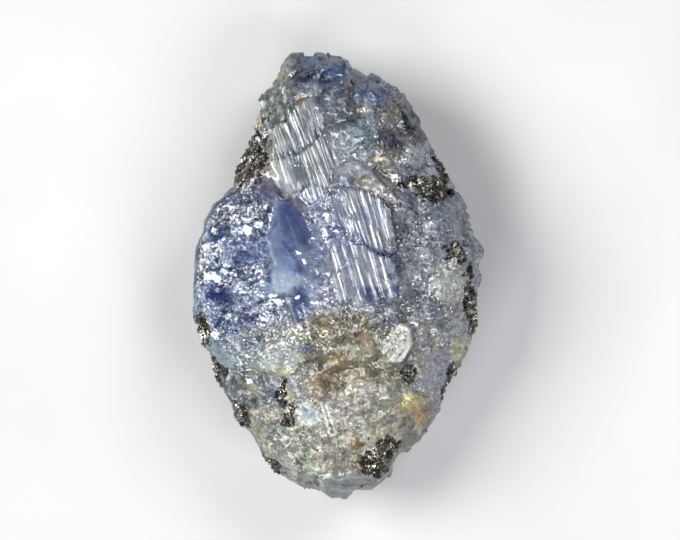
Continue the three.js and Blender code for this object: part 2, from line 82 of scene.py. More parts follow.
CELLS = (220, 336)  # grid cells of the upper side, across and along
SIDE_ROWS = 12  # rows down the broken side
FLANK_ROWS = 12  # rows from the side in to the cleavage face
HALF_EXTENT = (14.65, 22.4)  # half the stone's width and length

# Broad slopes of the upper side: a point on each, and its slope.
BROAD_FACES = {
    "centre": ((2, 3, 17.3), (-0.02, -0.05)),
    "blue upper": ((-9.5, 5, 14.0), (0.4, -0.14)),
    "blue lower": ((-9, -1, 14.2), (0.42, 0.05)),
    "upper left": ((-7, 14, 12.4), (0.45, -0.28)),
    "upper": ((-3, 14, 14.6), (0.08, -0.3)),
    "upper right": ((7, 12, 12.6), (-0.55, -0.42)),
    "right": ((9, 1, 14.6), (-0.5, -0.1)),
    "lower right": ((8, -9, 13.0), (-0.5, 0.3)),
    "lower": ((0, -12, 14.8), (0.02, 0.3)),
    "lower left": ((-7, -11, 13.0), (0.42, 0.36)),
    "lower end": ((0, -19, 11.5), (0, 0.75)),
    "narrow end": ((-3, 20, 11.2), (0, -0.62)),
}

# The outline from above, anticlockwise.
OUTLINE = [
    (-2.0, 22.45), (-2.5, 22.2), (-2.9, 21.8), (-3.6, 21.8), (-4.3, 22.2), (-5.2, 21.9), (-5.5, 21.5),
    (-5.7, 20.8), (-6.1, 20.2), (-6.1, 19.7), (-6.7, 19.1), (-7.9, 17.7), (-7.9, 16.8), (-8.3, 15.5),
    (-8.2, 14.5), (-9.3, 12.6), (-10.0, 11.0), (-10.5, 9.8), (-10.6, 8.9), (-11.3, 8.4), (-11.7, 7.8),
    (-12.6, 7.2), (-13.0, 6.3), (-13.5, 5.5), (-13.6, 4.4), (-14.1, 3.4), (-14.4, 2.3), (-14.5, 0.5),
    (-14.65, -3.2), (-14.4, -4.4), (-14.0, -5.5), (-13.6, -6.7), (-13.1, -7.6), (-12.3, -9.8),
    (-11.7, -11.2), (-11.2, -12.2), (-10.6, -12.8), (-10.3, -14.0), (-9.9, -14.8), (-9.3, -15.2),
    (-8.7, -15.9), (-7.5, -18.2), (-6.9, -19.0), (-6.2, -19.7), (-5.2, -20.4), (-4.1, -20.9),
    (-1.7, -21.5), (-1.3, -21.8), (-0.7, -22.3), (0.1, -22.3), (0.7, -22.45), (1.1, -22.0), (1.6, -21.5),
    (2.2, -21.5), (2.7, -21.6), (3.3, -21.4), (4.4, -20.6), (4.9, -20.2), (5.6, -18.7), (6.2, -18.1),
    (7.2, -17.5), (8.4, -16.1), (9.5, -14.4), (10.1, -13.3), (10.4, -12.3), (10.7, -11.2), (12.0, -9.2),
    (12.6, -8.3), (13.1, -7.3), (13.65, -5.0), (13.8, -3.5), (13.75, -1.5), (14.1, -0.3), (14.1, 1.1),
    (14.3, 1.9), (14.65, 2.6), (14.0, 3.4), (12.9, 4.6), (12.95, 5.1), (12.65, 5.5), (12.8, 5.9),
    (12.6, 6.3), (12.6, 6.9), (11.8, 8.3), (11.5, 9.1), (10.4, 10.8), (9.3, 12.5), (8.1, 15.2),
    (6.9, 17.5), (6.4, 18.2), (4.5, 19.5), (3.7, 20.1), (3.2, 20.4), (2.8, 20.1), (1.3, 20.8),
    (0.9, 21.4), (0.4, 21.8), (-0.4, 22.0), (-1.4, 22.1),
]

# Slopes of the underside: which way each one rises, how far out it starts, and its rise.
UNDER_PLANES = [
    ((1, 0), 7.5, 0.8),
    ((-1, 0), 7.0, 0.7),
    ((0.1, 0.995), 13.0, 0.6),
    ((0, -1), 13.5, 0.58),
    ((0.75, 0.66), 8.6, 0.75),
    ((-0.8, 0.6), 8.6, 0.75),
    ((-0.7, -0.71), 9.2, 0.7),
    ((0.72, -0.69), 9.0, 0.7),
]

# Flat faces of the upper side: corners, lift over the form around, tilt against its slope, soft edge, and how
# much of the broken surface the face smooths away.
FACES = {
    "upper tier 1": (
        [(-4.3, 17.1), (-3.0, 17.5), (-2.2, 16.2), (-1.2, 14.2), (-2.9, 12.9), (-4.2, 12.1), (-5.4, 11.7),
         (-6.7, 11.6), (-6.3, 14.6), (-5.2, 15.4)],
        0.25, (-0.35, 0.075), 0.25, 0.95),
    "upper tier 2": (
        [(-6.9, 11.6), (-5.6, 11.7), (-4.2, 12.1), (-2.9, 12.9), (-1.2, 14.0), (-0.5, 13.5),
         (0.2, 11.7), (0.1, 10.6), (-0.7, 10.3), (-0.8, 8.5), (-2.0, 9.0), (-3.6, 8.6), (-4.3, 7.9),
         (-5.3, 7.9), (-6.1, 9.5)],
        0.3, (-0.3, 0.06), 0.25, 0.95),
    "upper tier 3": (
        [(-3.6, 8.5), (-2.0, 8.9), (-0.8, 8.4), (-1.9, 7.5), (-2.9, 7.3), (-3.5, 7.8)],
        0.1, (-0.28, 0.035), 0.12, 0.95),
    "cap": (
        [(-0.6, 8.9), (0.1, 10.5), (1.1, 11.2), (2.4, 11.2), (3.6, 10.4), (5.4, 9.0), (7.2, 6.7),
         (5.4, 7.0), (4.1, 7.8), (2.3, 8.6), (1.3, 8.5), (0.1, 8.5)],
        0.3, (-0.05, -0.1), 0.35, 0.6),
    "centre tier 1": (
        [(-0.1, 8.4), (1.3, 8.4), (2.4, 8.5), (4.1, 7.7), (4.9, 6.5), (5.3, 4.5), (5.7, 2.5), (5.1, 2.2),
         (3.9, 2.5), (2.6, 3.3), (1.3, 3.9), (0.2, 4.7), (-0.4, 6.0), (-0.6, 7.5)],
        0.15, (0.22, 0.0), 0.25, 0.95),
    "centre tier 2": (
        [(-0.7, 3.2), (0.6, 3.2), (2.1, 3.1), (3.3, 2.5), (4.6, 1.7), (5.6, 1.3), (5.7, -0.5), (5.6, -2.2),
         (4.1, -2.5), (2.7, -2.8), (1.1, -2.5), (-0.1, -2.3), (-0.6, -0.5), (-0.9, 1.3)],
        0.3, (0.2, -0.07), 0.25, 0.95),
    "blue facet": (
        [(-6.1, 7.55), (-4.9, 7.05), (-4.1, 5.85), (-3.1, 4.25), (-3.4, 3.45), (-3.1, 2.05), (-2.9, 0.05),
         (-3.7, 0.05), (-4.9, 0.85), (-6.3, 1.05), (-6.9, 2.45), (-6.9, 4.05), (-6.5, 6.05)],
        0.0, (-0.2, 0.06), 0.6, 0.8),
    "pale facet": (
        [(-6.2, 1.6), (-4.6, 0.7), (-3.7, -0.3), (-4.0, -0.8), (-5.1, -1.8), (-6.1, -1.95), (-6.9, -1.45),
         (-6.8, 0.1), (-6.6, 1.1)],
        0.0, (-0.2, 0.06), 0.5, 0.8),
    "white plate": (
        [(4.4, -6.1), (6.0, -4.65), (7.1, -5.2), (7.35, -6.9), (6.4, -8.6), (4.9, -8.55), (4.15, -7.5)],
        0.3, (0.3, -0.1), 0.08, 0.35),
    "pale wedge": (
        [(-8.8, -8.8), (-6.9, -7.2), (-5.7, -6.8), (-4.0, -7.2), (-3.6, -7.9), (-4.4, -9.5), (-5.0, -10.0),
         (-6.4, -9.8), (-7.8, -9.4)],
        0.2, (-0.1, -0.12), 0.35, 0.35),
    "tip ledge": (
        [(-2.1, -20.3), (-0.9, -19.7), (1.1, -19.8), (3.6, -19.9), (4.6, -20.5), (3.9, -21.3),
         (2.7, -21.8), (1.3, -21.8), (0.8, -22.6), (-0.7, -22.6), (-1.7, -21.7)],
        -0.1, (0.05, -0.3), 0.4, 0.6),
    "beige wedge": (
        [(3.1, 11.5), (4.6, 12.3), (6.1, 12.5), (6.3, 10.5), (6.6, 9.0), (7.6, 7.0), (5.6, 8.5), (4.1, 10.0)],
        0.3, (0.2, 0.1), 0.5, 0.15),
}

# The striae of each striated face: how far their direction turns from the Y axis, how they fan out, where
# they start at the face's left, and from there on the width and rise of each.
STRIAE = {
    "upper tier 1": (23.5, 0.0, -3.0, [
        (0.7, 0.05), (0.5, 0.11), (0.5, 0.04), (0.35, 0.09), (0.3, 0.18), (0.45, 0.06), (0.5, 0.18),
        (0.15, -0.2), (0.15, 0.18), (0.25, -0.05), (0.35, 0.14), (0.4, 0.06), (0.3, 0.11), (0.35, 0.05),
        (0.35, 0.2)]),
    "upper tier 2": (22.0, 0.0, -3.6, [
        (0.9, 0.04), (0.6, 0.14), (0.6, 0.11), (0.5, 0.02), (0.25, 0.1), (0.45, 0.17), (0.5, 0.08),
        (0.3, 0.15), (0.35, 0.1), (0.3, 0.17), (0.35, 0.08), (0.3, 0.17), (0.5, 0.1), (0.25, 0),
        (0.3, 0.2), (0.4, 0.18)]),
    "upper tier 3": (20.0, 0.0, -1.2, [
        (0.5, 0.18), (0.4, 0.05), (0.4, 0.15), (0.3, 0), (0.3, 0.18), (0.5, 0.1)]),
    "centre tier 1": (17.0, 0.06, -2.8, [
        (0.9, 0.06), (0.4, 0.12), (0.35, 0.29), (0.3, 0.26), (0.15, -0.05), (0.2, 0.27), (0.35, 0.1),
        (0.4, 0.04), (0.35, 0.3), (0.25, 0.08), (0.25, 0.27), (0.5, 0.08), (0.25, 0.3), (0.3, 0.27),
        (0.6, 0.06)]),
    "centre tier 2": (16.0, 0.0, -3.2, [
        (0.7, 0.04), (0.35, 0.24), (0.3, 0.1), (0.55, 0.04), (0.3, 0.22), (0.3, 0.1), (0.25, 0.02),
        (0.3, 0.23), (0.5, 0.04), (0.35, 0.16), (0.35, 0.02), (0.25, 0.23), (0.2, 0.25), (0.4, 0.04),
        (0.35, 0.24), (0.6, 0.05)]),
}
STRIA_FALL = 0.28  # share of each stria's width that falls back

# How the stone breaks, as layers of flakes: size, tilt, step, seed, kind of break, strength.
FLAKE_LAYERS = [
    (1.7, 0.2, 0.05, 400, "sugary", 1.0),
    (0.9, 0.2, 0.03, 450, "sugary", 1.0),
    (2.4, 0.12, 0.04, 500, "waxy", 1.0),
    (1.0, 0.14, 0.02, 550, "waxy", 1.0),
    (0.6, 0.1, 0.02, 200, "block", 1.0),
    (0.45, 0.2, 0.01, 300, "sugary", 0.6),
    (0.45, 0.16, 0.01, 350, "waxy", 0.6),
    (0.5, 0.5, 0.06, 700, "graphite", 1.0),
]
SOFTENED = 0.6  # share of a flake's tilt that shows outside the block

# Rounded crystals and nodules, then hollows: middle, half-sizes, height.
BOSSES = [
    ((-0.9, 20.8), (2.6, 1.3), 0.5),
    ((0.5, 20.4), (1.1, 0.8), 0.35),
    ((-2.0, 20.3), (0.9, 0.7), 0.3),
    ((-4.9, 20.9), (1.1, 1.2), 0.7),
    ((3.9, 18.4), (2.4, 1.7), 0.9),
    ((1.9, 14.0), (1.8, 1.5), 0.7),
    ((7.6, 11.8), (1.5, 1.3), 0.8),
    ((-10.2, 6.2), (3.0, 1.8), 0.7),
    ((-9.8, 2.6), (3.2, 1.9), 0.9),
    ((-9.2, -1.6), (3.2, 1.7), 0.8),
    ((-9.6, -5.2), (3.0, 1.6), 0.8),
    ((10.7, 5.0), (2.0, 2.3), 1.1),
    ((10.7, -1.3), (1.8, 1.8), 0.8),
    ((-2.7, -14.0), (1.3, 1.2), 0.6),
    ((7.4, -12.6), (1.3, 1.1), 0.6),
    ((11.8, -7.4), (1.0, 1.5), 0.5),
    ((-4.8, -17.2), (2.4, 1.6), 0.6),
    ((0.2, -17.4), (1.6, 1.3), 0.5),
    ((-8.8, -10.6), (1.6, 1.2), 0.6),
    ((4.4, -11.6), (1.4, 1.2), 0.4),
    ((-11.6, -2.0), (1.3, 0.8), -0.7),
    ((-3.0, 3.0), (0.9, 4.2), -0.35),
    ((1.9, 16.6), (1.4, 2.6), -0.6),
    ((8.6, 14.4), (1.2, 1.8), -0.4),
    ((-0.5, -10.5), (3.6, 2.4), -0.5),
    ((-2.4, -8.4), (1.3, 1.2), -0.5),
    ((5.9, 14.3), (1.6, 0.8), -0.5),
    ((-8.0, -12.2), (2.0, 0.7), -0.4),
]

# Fields of the blue block where its cleavage faces lie nearly in one slope: middle x, y, half-sizes, turn.
BRIGHT_FIELDS = [
    (-9.2, 5.6, 2.2, 0.8, 15),
    (-10.9, 3.2, 1.5, 0.6, 35),
    (-9.1, -1.1, 2.3, 1.5, -10),
    (-12.6, -0.2, 1.0, 0.7, 0),
    (-11.0, -6.0, 2.8, 0.9, 10),
    (-6.9, -3.5, 1.2, 1.6, 0),
    (-8.6, -4.6, 1.6, 0.7, 20),
    (-12.9, 2.8, 0.7, 0.7, 0),
    (-7.9, 0.9, 0.7, 0.4, 0),
]

# Single cleavage faces: middle x, y, half-sizes, turn.
BRIGHT_CHIPS = [
    (-9.15, 4.45, 0.4, 0.5, 20),
    (-7.95, 5.0, 0.7, 0.35, 10),
    (-12.5, 4.4, 0.25, 0.4, 0),
    (-13.4, 2.85, 0.3, 0.3, 0),
    (-13.1, 0.0, 0.5, 0.4, 20),
    (-12.15, -0.2, 0.45, 0.45, 0),
    (-7.3, 6.9, 0.3, 0.22, 0),
    (-10.8, 6.6, 0.25, 0.35, 0),
    (-11.1, 1.0, 0.35, 0.3, 0),
    (-12.0, -6.0, 0.8, 0.3, -20),
    (-10.7, -4.1, 0.4, 0.5, 0),
    (-6.6, -1.9, 0.5, 0.18, 0),
    (-4.15, -2.2, 0.25, 0.25, 0),
    (-1.2, 5.9, 0.35, 0.35, 0),
    (-2.6, 3.65, 0.2, 0.2, 0),
    (-3.15, 8.0, 0.25, 0.5, -10),
    (6.7, 12.35, 0.25, 0.35, 0),
    (8.6, 11.85, 0.2, 0.4, 20),
    (8.8, 11.2, 0.3, 0.2, 0),
    (-8.9, -10.6, 0.42, 0.3, 10),
    (0.6, -20.1, 0.35, 0.15, 0),
]

CHIP_GRID = 0.32  # size of the cells that give the single faces their straight edges
CHIP_FACES = 0.3  # share of the smaller faces that shows on them

# Cleavage faces with outlines of their own: corners.
SHAPED_CHIPS = [
    [(-4.35, 2.5), (-3.9, 2.35), (-3.6, 2.1), (-4.1, 2.1)],
    [(-3.75, 1.75), (-3.35, 1.6), (-3.25, 0.95), (-3.5, 1.25)],
]

QUIET_FACING = (0.2, -0.04, 0.98)  # the direction that the quiet places' small faces share

# Quiet places, whose small faces lie nearly level: middle x, y, half-sizes, turn.
QUIET = [
    (-6.3, 6.9, 0.9, 1.0, 0),
    (-6.8, 8.7, 2.0, 1.1, -15),
    (-9.7, 1.9, 1.0, 0.7, 20),
    (-11.6, -1.9, 1.5, 0.8, -25),
    (-4.2, 7.2, 1.6, 0.7, -50),
    (-3.6, 4.0, 0.9, 3.2, 12),
    (-4.0, -3.0, 1.2, 1.9, 0),
    (-1.8, 1.0, 1.0, 2.2, 0),
    (-2.3, 3.2, 0.7, 2.4, 8),
    (1.7, -6.4, 2.4, 1.3, 0),
    (-2.4, -4.6, 1.6, 0.9, 0),
    (-1.6, -11.2, 0.9, 1.6, 0),
    (-2.9, -13.8, 1.1, 1.0, 0),
    (-1.2, -14.0, 0.8, 1.9, 12),
    (-9.2, -11.6, 2.6, 1.6, -40),
    (-6.4, 16.6, 1.4, 2.4, -20),
    (-7.4, 15.6, 1.3, 2.4, -25),
    (-0.7, 16.5, 1.3, 1.7, 0),
    (2.9, 17.3, 0.7, 0.9, 0),
    (5.0, 10.9, 1.3, 0.9, -20),
]

BLOCK_WAX = 0.15  # how far the glints of the blue block are blurred

# Dull places, whose glints are blurred: middle x, y, half-sizes, turn.
DULL = [
    (-6.0, 16.6, 2.9, 3.4, -20),
    (-6.8, 8.7, 2.0, 1.0, -15),
    (1.6, 9.7, 2.6, 1.5, -25),
    (4.4, 11.8, 1.7, 1.2, -20),
    (1.4, 16.4, 3.4, 2.8, 0),
]

# Ledges, cracks and thin ridges, and seams that only carry a colour: points, half-width, rise, sRGB colour.
# The dark colours of sunken ledges and cracks are partly painted shade, and the near-white colours of raised
# ridges and lit edges are painted highlights; the other colours are the stone's own.
LINES = [
    # Ledges and a crack round the striated tiers and the cap: their dark colours are painted shade.
    ([(-4.3, 12.15), (-3.0, 12.85), (-1.3, 14.25)], 0.07, -0.02, (84, 88, 98)),
    ([(-3.6, 8.75), (-2.0, 9.25)], 0.1, -0.08, (72, 76, 88)),
    ([(2.6, 11.15), (4.7, 8.8), (6.8, 6.9), (7.9, 6.05)], 0.1, -0.1, (84, 88, 100)),
    ([(-0.6, 10.1), (0.1, 11.0), (1.8, 11.2), (3.0, 10.9)], 0.09, 0.04, (172, 177, 182)),
    # Blue ledges by the centre tiers: their dark blue is partly the gem's colour and partly painted shade.
    ([(-0.4, 4.75), (1.1, 4.35), (2.3, 3.55), (3.1, 2.55), (4.6, 1.75), (5.4, 2.3)], 0.34, 0.0,
     (98, 112, 158)),
    ([(3.0, -2.2), (4.0, -2.45), (4.85, -1.7), (5.6, -1.3)], 0.36, -0.08, (82, 98, 148)),
    # The white plate's sunken edges: their dark colours are painted shade.
    ([(7.45, -6.1), (7.0, -7.5), (6.2, -8.7), (4.75, -8.75)], 0.09, -0.1, (92, 90, 82)),
    ([(4.05, -7.6), (4.05, -6.6), (5.0, -5.3)], 0.07, -0.08, (104, 102, 94)),
    # Grooves in the block and coloured bands: the grooves' darkness is partly painted shade.
    ([(-11.7, 0.95), (-9.9, 0.75), (-8.1, 0.35), (-6.9, -0.45)], 0.3, -0.12, (84, 98, 150)),
    ([(-12.6, -3.25), (-10.4, -3.65), (-8.1, -3.85)], 0.16, -0.14, (78, 90, 136)),
    ([(-10.7, 9.0), (-8.1, 8.6), (-6.6, 7.7)], 0.2, -0.1, (104, 108, 136)),
    ([(-8.2, 9.5), (-6.4, 8.6), (-4.9, 7.7)], 0.35, -0.05, (112, 108, 124)),
    ([(2.1, 8.6), (4.1, 7.7), (5.1, 6.3), (5.5, 4.3)], 0.2, -0.03, (104, 86, 90)),
    ([(-4.9, 7.95), (-3.7, 6.7), (-2.7, 5.4)], 0.3, 0.0, (134, 134, 140)),
    # The blue facet's lit left edge: its pale colour is a painted highlight.
    ([(-7.1, 4.5), (-6.7, 2.5), (-6.3, 0.7)], 0.3, 0.04, (150, 165, 196)),
    # Raised ridges, whose near-white colours are painted highlights, and sunken grooves beside them, whose
    # dark colours are painted shade.
    ([(-5.0, -2.45), (-4.1, -4.95)], 0.1, 0.1, (205, 210, 214)),
    ([(-3.5, -2.95), (-2.9, -5.95)], 0.1, 0.1, (190, 196, 204)),
    ([(-1.75, -12.6), (-1.0, -15.5)], 0.16, 0.15, (236, 239, 232)),
    ([(-1.3, -12.8), (-0.5, -15.2)], 0.13, 0.12, (232, 235, 228)),
    ([(-1.5, -12.6), (-0.85, -15.2)], 0.06, -0.05, (110, 112, 108)),
    ([(-8.9, -8.7), (-6.9, -7.1), (-5.7, -6.7), (-4.0, -7.1)], 0.07, 0.06, (206, 214, 210)),
    ([(-8.6, -9.4), (-6.4, -10.0), (-5.0, -10.2), (-4.2, -9.5)], 0.1, -0.1, (96, 98, 92)),
    # A painted highlight along the same lit edge.
    ([(-7.0, 3.7), (-6.7, 2.4), (-6.3, 1.0)], 0.08, 0.03, (196, 208, 224)),
    # Lighter and darker streaks in the blue facet's own colour.
    ([(-6.2, 6.3), (-5.7, 4.4), (-5.6, 2.2)], 0.08, 0.0, (136, 152, 196)),
    ([(-5.2, 6.0), (-4.5, 4.2), (-4.2, 3.1)], 0.06, 0.0, (128, 144, 190)),
    ([(-4.3, 5.6), (-3.6, 4.1), (-3.4, 3.0)], 0.08, 0.0, (62, 72, 122)),
    ([(-5.6, 3.3), (-4.6, 2.0), (-3.7, 0.6)], 0.08, 0.0, (74, 90, 146)),
    # A painted glint along a thin raised ridge.
    ([(-6.8, 10.35), (-5.9, 8.75)], 0.16, 0.12, (226, 227, 214)),
    # A pale band in the stone's own colour.
    ([(-5.9, 11.5), (-5.2, 9.9), (-4.9, 8.4)], 0.4, 0.06, (162, 168, 172)),
    # The lower tip's ledge: painted highlights on its two ridges, and painted shade in the groove between.
    ([(-2.3, -19.7), (-0.3, -20.3), (2.0, -20.1), (4.0, -20.2)], 0.12, 0.08, (176, 184, 190)),
    ([(-1.6, -20.7), (0.6, -20.9), (3.0, -20.9)], 0.1, -0.08, (98, 108, 122)),
    ([(-0.8, -21.3), (1.2, -21.5), (2.8, -21.3)], 0.1, 0.06, (170, 178, 182)),
]

# Patches of graphite: middle x, y, half-sizes, turn in degrees.
GRAPHITE = [
    (-8.8, 11.7, 1.35, 2.9, -22),
    (8.9, 8.8, 2.3, 1.1, -12),
    (10.3, 10.4, 0.6, 1.7, 25),
    (11.7, 2.4, 0.9, 0.9, 0),
    (13.1, -3.0, 0.55, 4.2, 6),
    (11.0, -10.7, 0.4, 1.9, -17),
    (-13.6, -5.7, 0.7, 1.7, 15),
    (-12.4, -9.2, 0.7, 1.6, 20),
    (-9.6, -13.8, 0.6, 1.3, 25),
    (-5.5, -11.4, 0.38, 1.0, -15),
    (-5.1, -13.3, 0.62, 1.15, -25),
    (-5.4, -14.6, 0.5, 0.4, 0),
    (6.75, -9.9, 0.75, 1.1, 0),
    (4.1, -18.2, 1.3, 2.2, -25),
    (5.7, -17.1, 0.4, 0.3, 0),
    (-6.8, -18.9, 0.9, 0.7, -40),
    (5.8, 7.0, 0.3, 0.3, 0),
    (1.5, 19.2, 0.4, 0.4, 0),
]
RAGGED = 0.9  # how ragged the graphite patches are
PATCHES_END, PATCHES_WHOLE = RIM - 4.5, RIM - 1.5  # heights between which the patches fade in, going up
UNDER_STARTS, UNDER_WHOLE = RIM - 2.0, RIM - 4.0  # heights between which the underside's graphite sets in

# The graphite scales stand on the patches.
SCALES_PER_AREA = 12  # how many to the square millimetre, before the ragged patches thin them out
SCALE_RADIUS = (0.12, 0.36)  # the least and the most
SCALE_THICKNESS = 0.05
SCALE_FLARE = 1.12  # width of a scale's lower side beside its upper side
SCALE_LEAN = 0.75  # how far a scale may lean away from the surface's own direction
SCALE_LOWEST = RIM - 1  # no scale stands lower than this
SCALE_CROWDING = 1.4  # how much likelier a scale is towards a patch's middle
SCALE_LEAST = 0.2  # least sum of that and the raggedness that keeps a scale
SCALE_SEED = 12
RAY_START = 30  # a height over the whole stone

# Colour zones, later ones over earlier ones: middle x, y, half-sizes, turn in degrees, sRGB colour.
STONE_COLOUR = (150, 156, 166)
TINTS = [
    (-6.2, 17.1, 2.8, 3.2, -20, (96, 101, 100)),  # upper left, sugary
    (-4.8, 21.1, 1.2, 1.4, 0, (122, 127, 122)),  # pale tip
    (-1.4, 20.9, 3.0, 1.7, 0, (58, 84, 128)),  # knob of the narrow end
    (4.4, 18.4, 3.2, 2.2, -30, (56, 78, 112)),  # shoulder
    (-0.4, 17.1, 2.2, 2.8, 0, (90, 94, 108)),  # recess behind the knob
    (5.9, 15.1, 2.6, 3.0, -30, (122, 122, 124)),  # upper right
    (2.2, 13.8, 1.8, 1.7, 0, (158, 172, 180)),  # rounded crystal
    (5.2, 13.2, 1.5, 0.8, -20, (58, 60, 80)),  # violet band
    (7.2, 15.6, 1.0, 2.0, 25, (38, 44, 58)),  # upper right edge
    (4.6, 10.8, 1.8, 1.8, 0, (100, 98, 92)),  # beige wedge
    (7.7, 11.9, 1.5, 1.2, 0, (136, 142, 148)),  # bright knob
    (-2.7, 12.1, 2.4, 4.8, 16, (100, 109, 118)),  # striated upper faces
    (-9.6, 1.4, 6.2, 8.4, 110, (147, 165, 194)),  # blue block
    (-9.9, 6.3, 3.6, 1.4, -8, (92, 110, 140)),  # blue block, upper flakes
    (-6.9, 8.7, 1.4, 0.9, 0, (134, 133, 164)),  # purple patch
    (0.6, 2.5, 6.0, 7.0, 0, (150, 158, 180)),  # middle
    (-1.9, 5.0, 1.6, 3.0, 0, (156, 168, 194)),  # middle, blue-grey
    (1.3, 10.2, 2.0, 1.4, -20, (148, 155, 166)),  # cap
    (3.3, 8.9, 2.6, 0.9, -20, (146, 143, 136)),  # cap, beige
    (7.4, 3.2, 2.2, 3.0, 0, (180, 183, 193)),  # right, glittering
    (10.5, 5.8, 1.8, 2.4, 0, (132, 141, 156)),  # knob over the spur
    (12.2, 6.5, 0.8, 2.0, 0, (138, 142, 146)),  # pale rim lobes
    (13.8, 3.0, 1.0, 1.2, 0, (118, 124, 134)),  # spur
    (10.7, -0.9, 1.9, 1.8, 0, (188, 191, 188)),  # round calcite
    (8.1, -3.0, 2.6, 1.7, 0, (126, 131, 140)),  # right, lower
    (0.6, -7.5, 5.8, 3.8, 0, (112, 110, 90)),  # lower middle
    (3.1, -10.1, 3.6, 2.0, 0, (120, 118, 92)),  # olive wedge
    (1.1, -15.4, 7.2, 5.0, 0, (158, 157, 145)),  # lower half
    (-9.9, -7.5, 4.0, 2.6, -30, (134, 149, 162)),  # left, under the block
    (-9.3, -11.7, 3.0, 2.4, -40, (72, 84, 92)),  # left, glassy
    (-6.3, -7.8, 2.6, 1.6, 0, (154, 168, 167)),  # pale wedge
    (-5.6, -9.3, 1.1, 0.6, 0, (164, 167, 138)),  # pale wedge, yellow foot
    (-6.1, -17.2, 3.0, 2.6, -40, (134, 142, 134)),  # lower left
    (-3.7, -18.8, 2.2, 1.5, 0, (161, 171, 157)),  # lower left, yellowish
    (-2.9, -13.8, 1.3, 1.2, 0, (200, 208, 206)),  # pale nodule
    (0.8, -16.4, 2.8, 2.6, 0, (162, 160, 148)),  # lower middle, milky
    (7.6, -14.9, 2.6, 2.4, 40, (118, 114, 104)),  # lower right
    (4.8, -15.9, 1.4, 1.5, 0, (196, 188, 160)),  # lower right, brownish
    (12.0, -7.7, 1.0, 1.5, 0, (170, 171, 140)),  # greenish patch
    (1.1, -21.1, 4.0, 1.0, 0, (134, 141, 143)),  # ledge of the lower tip
    (-14.1, 2.0, 0.6, 3.0, 0, (142, 148, 144)),  # left rim, cream: painted light of a rim lit through from behind
    (7.2, -12.6, 1.2, 1.1, 0, (198, 186, 130)),  # yellow calcite
    (7.9, -13.8, 0.8, 1.2, 0, (184, 150, 100)),  # iron stain on it
    (2.5, -6.0, 0.8, 0.6, 0, (148, 132, 102)),  # iron stain, middle
    (-1.6, -11.2, 0.9, 1.8, 0, (126, 113, 88)),  # iron stain, lower left
    (1.6, -16.6, 0.4, 0.7, 0, (122, 100, 66)),  # iron speck 1
    (2.1, -18.9, 0.4, 1.1, 0, (126, 104, 70)),  # iron speck 2
    (-4.3, 17.9, 0.8, 0.7, 0, (122, 96, 58)),  # iron stain, upper
    (-6.0, 19.9, 0.4, 0.5, 0, (170, 158, 96)),  # yellow speck, tip
    (-8.2, 15.4, 0.4, 0.7, 0, (168, 158, 104)),  # yellow speck, rim
    (-7.5, 11.6, 0.9, 2.1, 15, (144, 136, 122)),  # brown halo of the graphite
    (5.5, 3.0, 0.4, 0.7, 0, (138, 98, 104)),  # red speck
    (3.9, 11.6, 0.7, 0.4, 0, (168, 156, 118)),  # gold glints, painted as specks
    (5.4, 16.1, 0.7, 0.6, 0, (140, 136, 116)),  # yellow patch, upper right
    (1.5, 16.1, 0.5, 0.5, 0, (148, 142, 112)),  # yellow patch, recess
    (-8.9, 2.4, 1.9, 1.4, 0, (124, 140, 186)),  # block, darker middle
    (-9.7, 1.9, 0.9, 0.6, 0, (92, 108, 166)),  # deep blue 1
    (-11.7, -1.9, 1.5, 1.1, 0, (62, 80, 150)),  # deep blue 2
    (-10.8, -5.2, 1.0, 0.7, 0, (74, 92, 144)),  # deep blue 3
    (-12.1, -4.6, 0.8, 0.6, 0, (74, 92, 144)),  # deep blue 4
    (-11.9, 5.2, 1.4, 0.8, 20, (96, 108, 144)),  # deep blue 5
    (-8.8, 7.8, 1.3, 0.5, -20, (92, 104, 146)),  # deep blue 6
    (-3.9, -3.0, 0.9, 1.7, 0, (104, 120, 174)),  # blue V
    (3.9, -1.8, 1.5, 0.7, -10, (78, 94, 142)),  # under the centre tiers
]

# Mottling: middle x, y, half-sizes, turn, sRGB colour, grain size, share of the zone that it takes, seed.
MOTTLES = [
    (1, -13, 13, 9, 0, (168, 158, 130), 1.7, 0.35, 1),
    (1, -13, 13, 9, 0, (124, 120, 128), 1.3, 0.3, 2),
    (1, -13, 13, 9, 0, (194, 196, 184), 0.9, 0.22, 3),
    (1, -11, 8, 6, 0, (112, 98, 74), 0.7, 0.14, 4),
    (2, 15, 9, 7, 0, (82, 94, 122), 1.2, 0.34, 5),
    (4, 13, 6, 5, 0, (136, 124, 100), 0.8, 0.18, 6),
    (2, 15, 9, 7, 0, (160, 168, 174), 0.6, 0.16, 7),
    (9, 2, 6, 8, 0, (92, 102, 126), 1.0, 0.3, 8),
    (9, 0, 6, 8, 0, (152, 146, 134), 1.1, 0.22, 9),
    (-9.6, 1.4, 6, 8.6, 10, (66, 84, 140), 1.1, 0.32, 10),
    (0, 3, 5, 6, 0, (120, 132, 172), 1.0, 0.22, 11),
    (-6.4, 16, 3, 5, -20, (168, 170, 164), 0.6, 0.28, 12),
    (0.2, -5.2, 5.0, 2.2, 0, (86, 78, 66), 0.5, 0.3, 14),
    (0.2, -5.2, 5.0, 2.2, 0, (190, 190, 184), 0.6, 0.2, 15),
    (-6.4, 16, 3, 5, -20, (116, 108, 96), 0.7, 0.14, 13),
]

OVERLAY = 0.8  # strength of the mottling and of the accents

